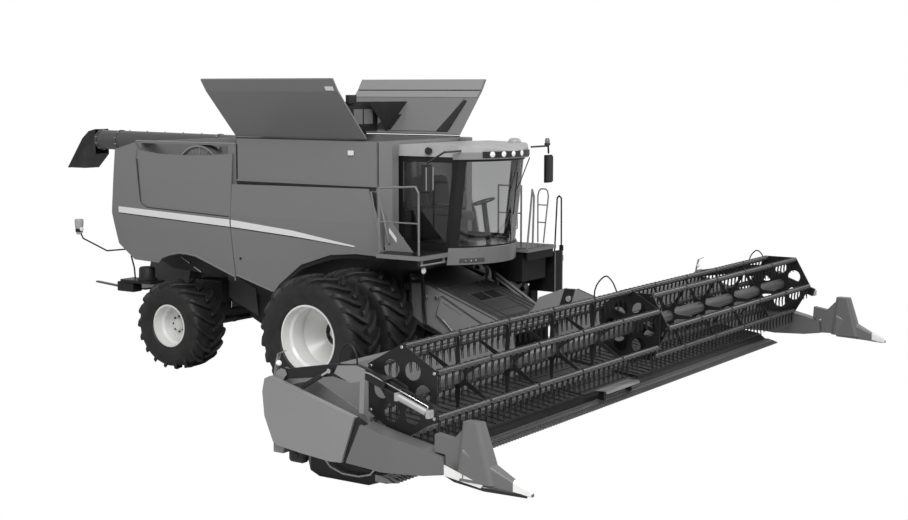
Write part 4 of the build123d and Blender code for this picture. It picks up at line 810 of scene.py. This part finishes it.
# ---- ladder ----
# Folded side rails with punched tread steps. The panel behind the upper steps has a light edge frame, and the
# ladder swings on two cast brackets.
tread = block("ladder_treads", (2.005, -2.205, 0.521), (2.215, -1.745, 0.531), 0.002)
fit(row(tread, 6, (0, 0, 0.3)), "ladder", galvanised)
for name, body, worked, finish, low, high in (
    ("ladder_panel_top_edge", "ladder", 0.002, rail_enamel, (1.984, -2.24, 2.085), (2.004, -1.71, 2.115)),
    ("ladder_panel_side_edge", "ladder", 0.002, rail_enamel, (1.984, -2.25, 1.39), (2.004, -2.225, 2.115)),
    ("ladder_outer_post_face", "ladder", 0.002, rail_enamel, (2.205, -2.254, 0.46), (2.231, -2.249, 2.1)),
    ("ladder_hinge_1", "chassis", 0.01, black_enamel, (1.93, -1.73, 1.5), (1.995, -1.66, 1.59)),
    ("ladder_hinge_2", "chassis", 0.01, black_enamel, (1.93, -1.73, 1.98), (1.995, -1.66, 2.07)),
    ("ladder_latch_1", "ladder", 0.008, black_enamel, (2.235, -2.25, 1.92), (2.262, -2.17, 2.02)),
    ("ladder_latch_2", "ladder", 0.008, black_enamel, (2.235, -2.25, 2.1), (2.262, -2.17, 2.2)),
):
    fit(block(name, low, high, worked), body, finish)

# ---- mirrors and corner lamps ----
# Moulded black mirror housings on bent stalks, each with a bright glass set in its rear face. Round lamps on
# stalks mark the machine's rear corners.
mirror_glass = metal("silvered mirror glass", "rod_chrome", "E6E6E8", 0.03, 3.0)
SHELL = ((-0.098, 0.048), (-0.098, 0.0), (-0.07, -0.03), (0.07, -0.03), (0.098, 0.0), (0.098, 0.048))
for side, x, y, z0, z1 in (("right", -1.75, -2.12, 3.38, 3.78), ("left", 1.64, -2.31, 3.37, 3.81)):
    shell = sheet(f"{side}_mirror_shell", [(x + a, y + b, z0) for a, b in SHELL], (0, 0, z1 - z0), 0.008)
    fit(shell, "chassis", black_abs)
    low, high = (x - 0.085, y + 0.051, z0 + 0.015), (x + 0.085, y + 0.056, z1 - 0.015)
    fit(block(f"{side}_mirror_glass", low, high, 0.002), "chassis", mirror_glass)
# painted highlight: the bright galvanised strips down the right mirror's front stand for highlights on the
# housing's rounded edges
for name, low, high, finish in (
    ("face", (-1.835, -2.152, 3.4), (-1.665, -2.146, 3.76), rail_enamel),
    ("edge_6", (-1.856, -2.156, 3.4), (-1.832, -2.15, 3.76), galvanised),
    ("edge_194", (-1.668, -2.156, 3.4), (-1.644, -2.15, 3.76), galvanised),
):
    fit(block("right_mirror_" + name, low, high, 0.002), "chassis", finish)
TAIL_SHELL = ((-0.16, 0.001), (-0.16, 0.045), (-0.12, 0.062), (0.02, 0.078), (0.09, 0.082), (0.122, 0.074),
              (0.13, 0.001))
TAIL_LENS = ((0, 0.001), (0, 0.042), (0.014, 0.038), (0.022, 0.001))
for side, x in (("right", -1.88), ("left", 1.88)):
    fit(turned(f"{side}_tail_lamp_shell", (x, 5.69, 2.45), Z, TAIL_SHELL, 32), "chassis", roof_plastic)
    fit(turned(f"{side}_tail_lamp_lens", (x, 5.628, 2.39), (0, -1, 0), TAIL_LENS), "chassis", lamp_glass)

# ---- feeder house trim ----
# The feeder house's top is a sheet stiffened with pressed ribs and two bolted hatches. Drive shields, latches
# and a lift hose run along its sides, and a light twin tube braces the left side.
feeder_enamel = enamel("feeder deck enamel", "chassis_paint", "3E3E3E", "5C5C5A", 0.4, 0.15)
dress(feeder_enamel, "feeder_house")


def on_deck(x, s, h):
    """Point on the feeder's sloping top, s metres down the slope from its bend and h above the sheet."""
    along = Vector((0, -1.2, -0.432)).normalized()
    return Vector((x, -1.6, 1.722)) + along * s + Vector((0, along.z, -along.y)) * h


def deck_plates(name, finish, high, *rows):
    """Flat plates joined into one piece that lies on the feeder's top, from rows of x and s limits."""
    parts = [plate("feeder_plate", [on_deck(x, s, 0.001) for x, s in ((x0, s0), (x1, s0), (x1, s1), (x0, s1))],
                   on_deck(0, 0, high) - on_deck(0, 0, 0.001)) for x0, x1, s0, s1 in rows]
    fit(gather(name, parts), "feeder", finish)


deck_plates("feeder_ribs", feeder_enamel, 0.016,
            *((x - 0.012, x + 0.012, 0.05, 1.22) for x in (-0.62, -0.42, 0.34, 0.5, 0.64)))
deck_plates("feeder_slats", feeder_enamel, 0.01,
            *((-0.69, 0.69, s, s + 0.018) for s in (0.04, 0.36, 0.68, 1.0, 1.2)))
RIM = 0.03
for k, (x0, x1) in enumerate(((-0.36, -0.06), (0.02, 0.3))):
    s0, s1 = 0.42, 0.66
    deck_plates(f"feeder_hatch_{k + 1}", black_enamel, 0.022, (x0, x1, s0, s1))
    deck_plates(f"feeder_hatch_frame_{k + 1}", plate_enamel, 0.012, (x0 - RIM, x1 + RIM, s0 - RIM, s0),
                (x0 - RIM, x1 + RIM, s1, s1 + RIM), (x0 - RIM, x0, s0, s1), (x1, x1 + RIM, s0, s1))
for name, x, thick, finish, outline in (
    # outline (y, z)
    ("feeder_right_side_sheet", -0.7205, -0.004, header_enamel,
     ((-1.06, 1.86), (-1.6, 1.665), (-2.76, 1.25), (-2.76, 0.6), (-1.34, 1.06), (-1.06, 1.22))),
    ("feeder_right_top_edge", -0.726, -0.008, rail_enamel,
     ((-1.6, 1.722), (-2.79, 1.293), (-2.79, 1.265), (-1.6, 1.694))),
    ("feeder_drive_shield", -0.787, -0.006, header_enamel,
     ((-1.7, 1.575), (-2.48, 1.19), (-2.41, 1.03), (-1.99, 0.98), (-1.61, 1.28))),
):
    fit(upright(name, x, thick, outline), "feeder", finish)
# side rods, the twin brace, and formed pipes to the header, rubber covered and clipped to the right side
hose_rubber = rubber("hydraulic hose rubber", "black_plastic", "141414", "30302F", 0.45)
PIPE = ((-0.82, -1.3, 2.1), (-0.8, -1.32, 1.8), (-0.79, -1.33, 1.4), (-0.78, -1.36, 1.1), (-0.765, -1.8, 0.9))
PIPE_GAP, BRACE_GAP = 0.036, 0.075
for name, radius, finish, points in (
    ("side_rod_1", 0.007, galvanised, [(-0.8, -1.74, 1.21), (-0.8, -1.96, 1.005)]),
    ("side_rod_2", 0.007, galvanised, [(-0.8, -1.98, 0.998), (-0.8, -2.3, 1.025)]),
    ("side_rod_3", 0.007, galvanised, [(-0.8, -1.74, 1.5), (-0.8, -2.1, 1.335)]),
    ("brace_1", 0.024, rail_enamel, [(0.8, -1.72, 1.83), (0.8, -2.62, 1.3)]),
    ("brace_2", 0.024, rail_enamel, [(0.8, -1.72, 1.83 - BRACE_GAP), (0.8, -2.62, 1.3 - BRACE_GAP)]),
    ("hose_1", 0.016, hose_rubber, [*PIPE, (-0.765, -2.72, 0.72)]),
    ("hose_2", 0.016, hose_rubber, [*((x, y - PIPE_GAP, z) for x, y, z in PIPE), (-0.765, -2.72, 0.72)]),
):
    fit(tube("feeder_" + name, points, radius), "feeder", finish)
for name, x0, x1, half_y, half_z, worked, finish, middles in (
    # middles (y, z)
    ("latch", -0.772, -0.726, 0.035, 0.03, 0.01, zinc, ((-1.37, 1.561), (-1.59, 1.562), (-1.99, 1.4))),
    ("brace_clamp", 0.722, 0.83, 0.03, 0.07, 0.008, black_enamel, ((-1.74, 1.78), (-2.6, 1.27))),
):
    for k, (y, z) in enumerate(middles):
        low, high = (x0, y - half_y, z - half_z), (x1, y + half_y, z + half_z)
        fit(block(f"feeder_{name}_{k + 1}", low, high, worked), "feeder", finish)

# ---- cylinder rods ----
# The header's two lift cylinders and the reel's two have rods of ground steel, plated with hard chrome. Each
# ends in a welded eye, held by a pin.
dress(chrome, "lift_cylinder_rods", "reel_lift_rods")

# ---- under the right platform ----
# A work lamp hangs on a bent stalk below the right platform, in front of the tyre. A pressed steel support and
# a tube brace carry the platform's inner end.
LAMP_FACE = ((0, 0.001), (0, 0.05), (0.012, 0.055), (0.03, 0.04), (0.034, 0.001))
fit(turned("platform_lamp", (-1.52, -1.86, 2.1), (0, -1, 0), LAMP_FACE), "chassis", lamp_glass)
for name, radius, points in (
    ("lamp_stalk", 0.012, [(-1.52, -1.84, 2.1), (-1.52, -1.8, 2.16), (-1.52, -1.8, 2.27)]),
    ("brace", 0.03, [(-1.34, -1.72, 2.27), (-1.1, -1.55, 1.86), (-0.84, -1.12, 1.8)]),
):
    fit(tube("platform_" + name, points, radius), "chassis", black_enamel)
fit(block("platform_support", (-1.3, -1.62, 2.06), (-0.86, -1.22, 2.272), 0.01), "chassis", black_enamel)

# ---- draper belts ----
# Rubberised fabric belts with a moulded cleat every 200 mm carry the crop to the middle, and a centre belt
# with cross cleats carries it back. A rubber flap closes the slot behind the cutter bar.
belt_rubber = rubber("draper belt rubber", "belt_rubber", "232323", "3C3C3A", 0.5)
dress(belt_rubber, "draper_decks")
CLEAT_RISE = (0, 0, 0.014)
cleat = plate("left_draper_cleats", [(1.06, -3.165, 0.4485), (1.082, -3.165, 0.4485), (1.082, -4.405, 0.2875),
                                     (1.06, -4.405, 0.2875)], CLEAT_RISE)
both_sides(row(cleat, 25, (0.205, 0, 0)), "header", belt_rubber)
cross = plate("centre_draper_cleats", [(-0.8, -3.22, 0.4245), (0.8, -3.22, 0.4245), (0.8, -3.242, 0.4215),
                                       (-0.8, -3.242, 0.4215)], CLEAT_RISE)
fit(row(cross, 6, (0, -0.215, -0.0279)), "header", belt_rubber)
FLAP = ((-4.38, 0.272), (-4.47, 0.225), (-4.52, 0.178), (-4.38, 0.178))
fit(upright("cutter_bar_flap", -6.12, 12.24, FLAP), "header", seal_rubber)

# ---- cutter bar ----
# Forged guards, one each 76 mm, with the serrated knife sections between them. Sickle steel, worn bright at
# the edges. A folded sheet over the middle joins the two knives.
bar_steel = metal("cutter bar steel", "knife_steel", "A6A6A6", 0.5, 25.0)
knife_steel = metal("ground knife steel", "knife_steel", "B4B4B4", 0.3, 40.0)
dress(bar_steel, "cutter_bar")
KNIFE_X, GUARD_STEP, GUARDS = -6.13, 0.0761, 162
guard = trace("knife_guards", [(KNIFE_X + dx, -4.56, z) for dx, z in (
    (-0.02, 0.118), (0.02, 0.118), (0.02, 0.19), (-0.02, 0.19))])
bpy.ops.mesh.edge_face_add()
for dy, dz, size in ((-0.13, -0.02, 0.75), (-0.08, -0.015, 0.3)):
    draw((0, dy, dz), (size, 1, size), (KNIFE_X, -4.56, 0.13))
fit(row(close(guard), GUARDS, (GUARD_STEP, 0, 0)), "header", bar_steel)
section = plate("knife_sections", [(KNIFE_X + dx, y, 0.168) for dx, y in (
    (0.002, -4.56), (0.074, -4.56), (0.074, -4.6), (0.045, -4.7), (0.031, -4.7), (0.002, -4.6))], (0, 0, 0.004))
fit(row(section, GUARDS - 1, (GUARD_STEP, 0, 0)), "header", knife_steel)
fold = [(-0.69, -4.52, 0.325), (-0.69, -4.72, 0.335), (-0.69, -4.74, 0.29)]
fit(sheet("knife_joiner", fold, (1.11, 0, 0), 0.008), "header", band_enamel)
for k, x in ((1, -0.6), (10, 0.3)):
    fit(block(f"knife_joiner_foot_{k}", (x, -4.64, 0.16), (x + 0.05, -4.54, 0.326)), "header", black_enamel)

# ---- header ends ----
# Rolled edge round each end shield, a black rubber strip in the gap to the fairing whose black is partly
# painted shade of the gap, and under the divider a white wear strip with a black runner. The divider's tip is a
# replaceable white cap.
ends_enamel_and_shade = enamel("header end finish with painted shade", "header_paint", "878787", "989898", 0.36, 0.2)
shader = ends_enamel_and_shade.node_tree.nodes["Principled BSDF"]
painted = shader.inputs["Base Color"].links[0].from_socket
where = add(ends_enamel_and_shade, "ShaderNodeTexCoord", {}).outputs["Object"]
axes = add(ends_enamel_and_shade, "ShaderNodeSeparateXYZ", {0: where})
# the fairing and divider, ahead of the sloping gap, are painted darker than the steel shield: painted shade on
# their faces that turn inward, away from the light
slant = add(ends_enamel_and_shade, "ShaderNodeMath", {0: axes.outputs["Z"], 1: 0.42, 2: axes.outputs["Y"]},
            operation="MULTIPLY_ADD")
ahead = add(ends_enamel_and_shade, "ShaderNodeMath", {0: slant.outputs[0], 1: -5.44}, operation="LESS_THAN")
painted_shade_mix = add(ends_enamel_and_shade, "ShaderNodeMix", {0: ahead.outputs[0], 6: painted, 7: linear("6A6A6A")},
            data_type="RGBA")
feed(ends_enamel_and_shade, shader, {"Base Color": painted_shade_mix.outputs[2]})
dress(ends_enamel_and_shade, "header_ends")
white_nylon = plastic("white wear nylon", "plate_steel", "DADAD8", 0.35)
for name, radius, x, finish, line in (
    # line (y, z)
    ("left_shield_bead", 0.015, 6.408, header_enamel,
     ((-2.8, 1.1), (-2.84, 1.262), (-2.915, 1.299), (-4.276, 0.934), (-4.074, 0.35), (-3.89, 0.34),
      (-3.44, 0.38), (-3.022, 0.43), (-2.966, 0.468), (-2.83, 0.78), (-2.8, 1.1))),
    ("left_skid_pipe", 0.016, 6.16, galvanised,
     ((-3.62, 0.26), (-3.7, 0.18), (-3.9, 0.12), (-4.16, 0.12), (-4.34, 0.17), (-4.42, 0.26))),
):
    both_sides(tube(name, [(x, y, z) for y, z in line], radius), "header", finish)
for name, x, thick, finish, outline in (
    # partly painted shade: the black strip fills the gap between shield and fairing and stands for the gap's
    # shade
    ("left_shield_gap", 6.3, 0.085, seal_rubber, ((-4.27, 0.93), (-4.42, 0.855), (-4.17, 0.36), (-4.06, 0.36))),
    ("left_divider_wear_strip", 6.415, 0.008, white_nylon,
     ((-5.64, 0.54), (-5.64, 0.41), (-6.16, 0.335), (-6.19, 0.375))),
    ("left_skid_cheek", 6.083, 0.012, black_enamel,
     ((-3.33, 0.3), (-3.31, 0.08), (-3.46, 0.012), (-4.24, 0.012), (-4.41, 0.07), (-4.41, 0.19))),
):
    both_sides(upright(name, x, thick, outline), "header", finish)
runner = [(6.345, -5.6, 0.425), (6.415, -5.78, 0.395), (6.41, -6.2, 0.345), (6.32, -6.74, 0.325)]
both_sides(sheet("left_divider_runner", runner, (0, 0, -0.045), 0.008), "header", black_enamel)
TIP_X = 6.29
ring = [(-0.06, -0.05), (-0.036, -0.078), (0.036, -0.078), (0.06, -0.05), (0.06, 0.05), (0.036, 0.08),
        (-0.036, 0.08), (-0.06, 0.05)]
tip = trace("left_divider_tip", [(TIP_X + a, -6.56, 0.392 + b) for a, b in ring])
bpy.ops.mesh.edge_face_add()
draw((0, -0.2, -0.05), (0.62, 1, 0.55), (TIP_X, -6.76, 0.335))
draw((0, -0.038, -0.008), (0.6, 1, 0.6), (TIP_X, -6.798, 0.322))
both_sides(close(tip), "header", white_nylon)
# the dark end cap on the lower beam, and transport lamps on bent brackets at the back of the header
both_sides(block("left_beam_cap", (6.2, -3.4, 0.2), (6.345, -3.14, 0.4), 0.05), "header", black_enamel)
both_sides(stud("left_beam_plug", (6.345, -3.27, 0.3), 0.05, 0.02, "X", 12), "header", seal_rubber)
bracket = [(6.28, y, z) for y, z in ((-2.93, 1.25), (-2.96, 1.45), (-3.00, 1.6), (-3.1, 1.645))]
both_sides(sheet("left_transport_bracket", bracket, (0.08, 0, 0), 0.008), "header", header_enamel)
LAMP_BODY = ((-0.01, 0.001), (-0.01, 0.035), (0.02, 0.036), (0.03, 0.03), (0.035, 0.001))
lamp = turned("left_transport_lamp", (6.32, -2.985, 1.475), (0, -1, 0), LAMP_BODY)
both_sides(lamp, "header", lamp_glass)

# ---- reel arms ----
# Cover plates bolted over the arms' knees, bright slide cylinders with their pipes, and a formed hydraulic
# pipe looping over each arm.
KNEE = ((-3.9, 1.44), (-3.96, 1.545), (-4.25, 1.575), (-4.39, 1.54), (-4.36, 0.98), (-4.29, 0.98),
        (-4.31, 1.38), (-4.15, 1.345))
both_sides(upright("left_arm_cover", 6.312, 0.008, KNEE), "reel_arms", header_enamel)
for k, outline in enumerate((
    ((-2.99, 1.36), (-3.12, 1.6), (-3.6, 1.785), (-3.5, 1.49), (-3.2, 1.27), (-3.06, 1.27)),
    ((-3.72, 1.53), (-3.8, 1.79), (-4.2, 1.66), (-4.4, 1.56), (-4.42, 1.48), (-4.15, 1.43)),
)):
    for word, sign in (("", -1), ("left_", 1)):
        skin = upright(f"centre_arm_{word}cover_{k + 1}", sign * 0.031, sign * 0.01, outline)
        fit(skin, "reel_arms", header_enamel)
fit(stud("centre_arm_pin", (0, -3.68, 1.62), 0.05, 0.13, "X", 12), "reel_arms", zinc)


ARM_TURN, KNEE_Y, KNEE_Z = radians(18.9), -4.4, 1.548


def on_arm(x, s, h):
    """Point a distance s down an end arm's front section from its knee, and h above its top edge."""
    fall, run = sin(ARM_TURN), cos(ARM_TURN)
    return Vector((x, KNEE_Y - s * run - h * fall, KNEE_Z - s * fall + h * run))


silver = metal("silver cylinder paint", "rod_chrome", "DADADA", 0.45, 20.0)
sleeve = tube("left_slide_sleeve", [on_arm(6.358, s, -0.093) for s in (0.6, 1.036)], 0.047, 20)
both_sides(sleeve, "reel_arms", silver)
PIPE_LINE = ((6.35, 0.02, -0.03), (6.35, 0.1, -0.015), (6.35, 1.02, -0.02), (6.358, 1.04, -0.07))
both_sides(tube("left_slide_pipe", [on_arm(*p) for p in PIPE_LINE], 0.009), "reel_arms", chrome)
for k, s in enumerate((0.585, 1.075)):
    middle, half = on_arm(6.358, s, -0.093), Vector((0.052, 0.03, 0.052))
    both_sides(block(f"left_slide_head_{k + 1}", middle - half, middle + half, 0.012), "reel_arms", silver)
for name, x, y0, z0, top, y1, z1 in (
    # name, x, rear foot y, z, height of the top, front foot y, z
    ("right", -6.28, -3.955, 1.56, 1.83, -4.24, 1.58),
    ("centre", 0.0, -4.12, 1.66, 2.03, -4.55, 1.5),
    ("left", 6.3, -4.07, 1.55, 1.86, -4.4, 1.55),
):
    points = []
    for i in range(13):
        turn, rise = pi * i / 12, z0 + (z1 - z0) * i / 12
        y = (y0 + y1) / 2 + (y0 - y1) / 2 * cos(turn) * (1.0 - 0.35 * sin(turn) ** 3)
        points.append((x, y, rise + (top - rise) * sin(turn) ** 0.8))
    fit(tube(f"{name}_arm_pipe", points, 0.012), "reel_arms", black_enamel)

# ---- reel trim ----
# The reel's tube is drawn steel in grey enamel, and every bat is held at its end by a plated bolt, screwed
# into the bat through the end plate.
SKIN = ((0.1, 0.0955), (0.1, 0.0975), (6.08, 0.0975), (6.08, 0.0955))
both_sides(turned("left_reel_tube_skin", (0, -4.8, 1.27), X, SKIN, 32), "reel", plate_enamel)
for side, bolt_x in (("right", -6.112), ("left", 6.112)):
    for i in range(1, 7):
        end = (bolt_x, *bat_start(side, i)[1:])
        fit(stud(f"reel_{side}_bolt_{i}", end, 0.024, 0.012), f"reel_{side}_bat_{i}", zinc)

# ---- rear panels' and wheel arches' edges ----
# Rolled lips stiffen the lower edges, and a pressed groove borders the sunk field of the rear panel; the black
# line drawn along it is painted shade in the groove. A turn latch holds each front panel at its lower rear
# corner.
for name, panel, finish, radius, points in (
    # points (y, z)
    ("rear_arch_lip", "rear", apron_enamel, 0.02, ((4.12, 1.83), (4.02, 1.925), (3.82, 1.99), (3.6, 2.033),
                                                    (3.39, 2.03), (3.18, 2.005), (2.82, 1.885), (2.26, 1.695))),
    ("front_lower_lip", "front", apron_enamel, 0.018, ((2.22, 1.728), (1.4, 1.502))),
    ("field_groove_shade_line", "rear", seal_rubber, 0.008, ((4.625, 3.7), (4.527, 2.95), (4.5, 2.9), (4.44, 2.86),
                                                  (4.33, 2.822), (2.36, 2.748))),
):
    edge = tube("left_" + name, [(panel_x(z) - 0.003, y, z) for y, z in points], radius)
    both_sides(edge, f"left_{panel}_panel", finish)
latch = stud("left_panel_latch", (1.438, 2.1, 2.03), 0.022, 0.024, "X", 12)
both_sides(latch, "left_front_panel", black_enamel)
# partly painted shade: the black sheet along the front arch is a rubber flap and stands for the shade under the
# front panel
arch = [(1.405, y, z) for y, z in ((1.24, 1.66), (0.99, 1.86), (0.74, 2.03), (0.41, 2.145), (0.09, 2.235),
                                   (-0.19, 2.275), (-0.46, 2.285), (-1.02, 2.262))]
both_sides(sheet("left_arch_flap", arch, (-0.02, 0, -0.1), 0.012), "chassis", seal_rubber)

# ---- under the hood ----
# Side sheets, a hydraulic tank with its round filler and the steering pipes fill the space between the
# threshing housing and the rear axle.
SIDE = ((3.00, 1.7), (2.33, 1.4), (2.28, 0.92), (2.54, 1.02), (2.98, 1.2))
both_sides(upright("left_housing_sheet", 0.784, 0.012, SIDE), "chassis", tube_enamel)
for name, low, high in (
    ("left_oil_tank", (0.62, 2.98, 1.12), (1.00, 3.62, 1.52)),
    ("left_axle_link", (0.6, 3.1, 0.86), (0.96, 3.56, 1.16)),
    ("left_battery_box", (1.19, 4.8, 1.22), (1.42, 5.22, 1.4)),
    ("left_box_shelf", (1.1, 4.3, 1.4), (1.46, 5.1, 1.455)),
):
    both_sides(block(name, low, high, 0.015), "chassis", black_enamel)
CAN = ((0, 0.001), (0, 0.175), (0.03, 0.18), (0.06, 0.15), (0.22, 0.145), (0.25, 0.12), (0.255, 0.001))
both_sides(turned("left_filter_housing", (1.3, 4.55, 1.455), Z, CAN, 32), "chassis", seal_rubber)
for name, radius, finish, points in (
    ("filter_pipe", 0.016, seal_rubber, [(1.25, 5.02, 2.06), (1.26, 4.99, 1.86), (1.28, 4.9, 1.66),
                                         (1.3, 4.86, 1.46)]),
    ("steering_pipe_1", 0.018, zinc, [(1.02, 3.93, 1.9), (1.02, 3.72, 1.8)]),
    ("steering_pipe_2", 0.018, zinc, [(1.02, 3.62, 1.74), (1.02, 3.44, 1.66)]),
    ("steering_pipe_3", 0.018, zinc, [(1.02, 2.62, 1.7), (1.02, 2.61, 1.56)]),
):
    both_sides(tube("left_" + name, points, radius), "chassis", finish)
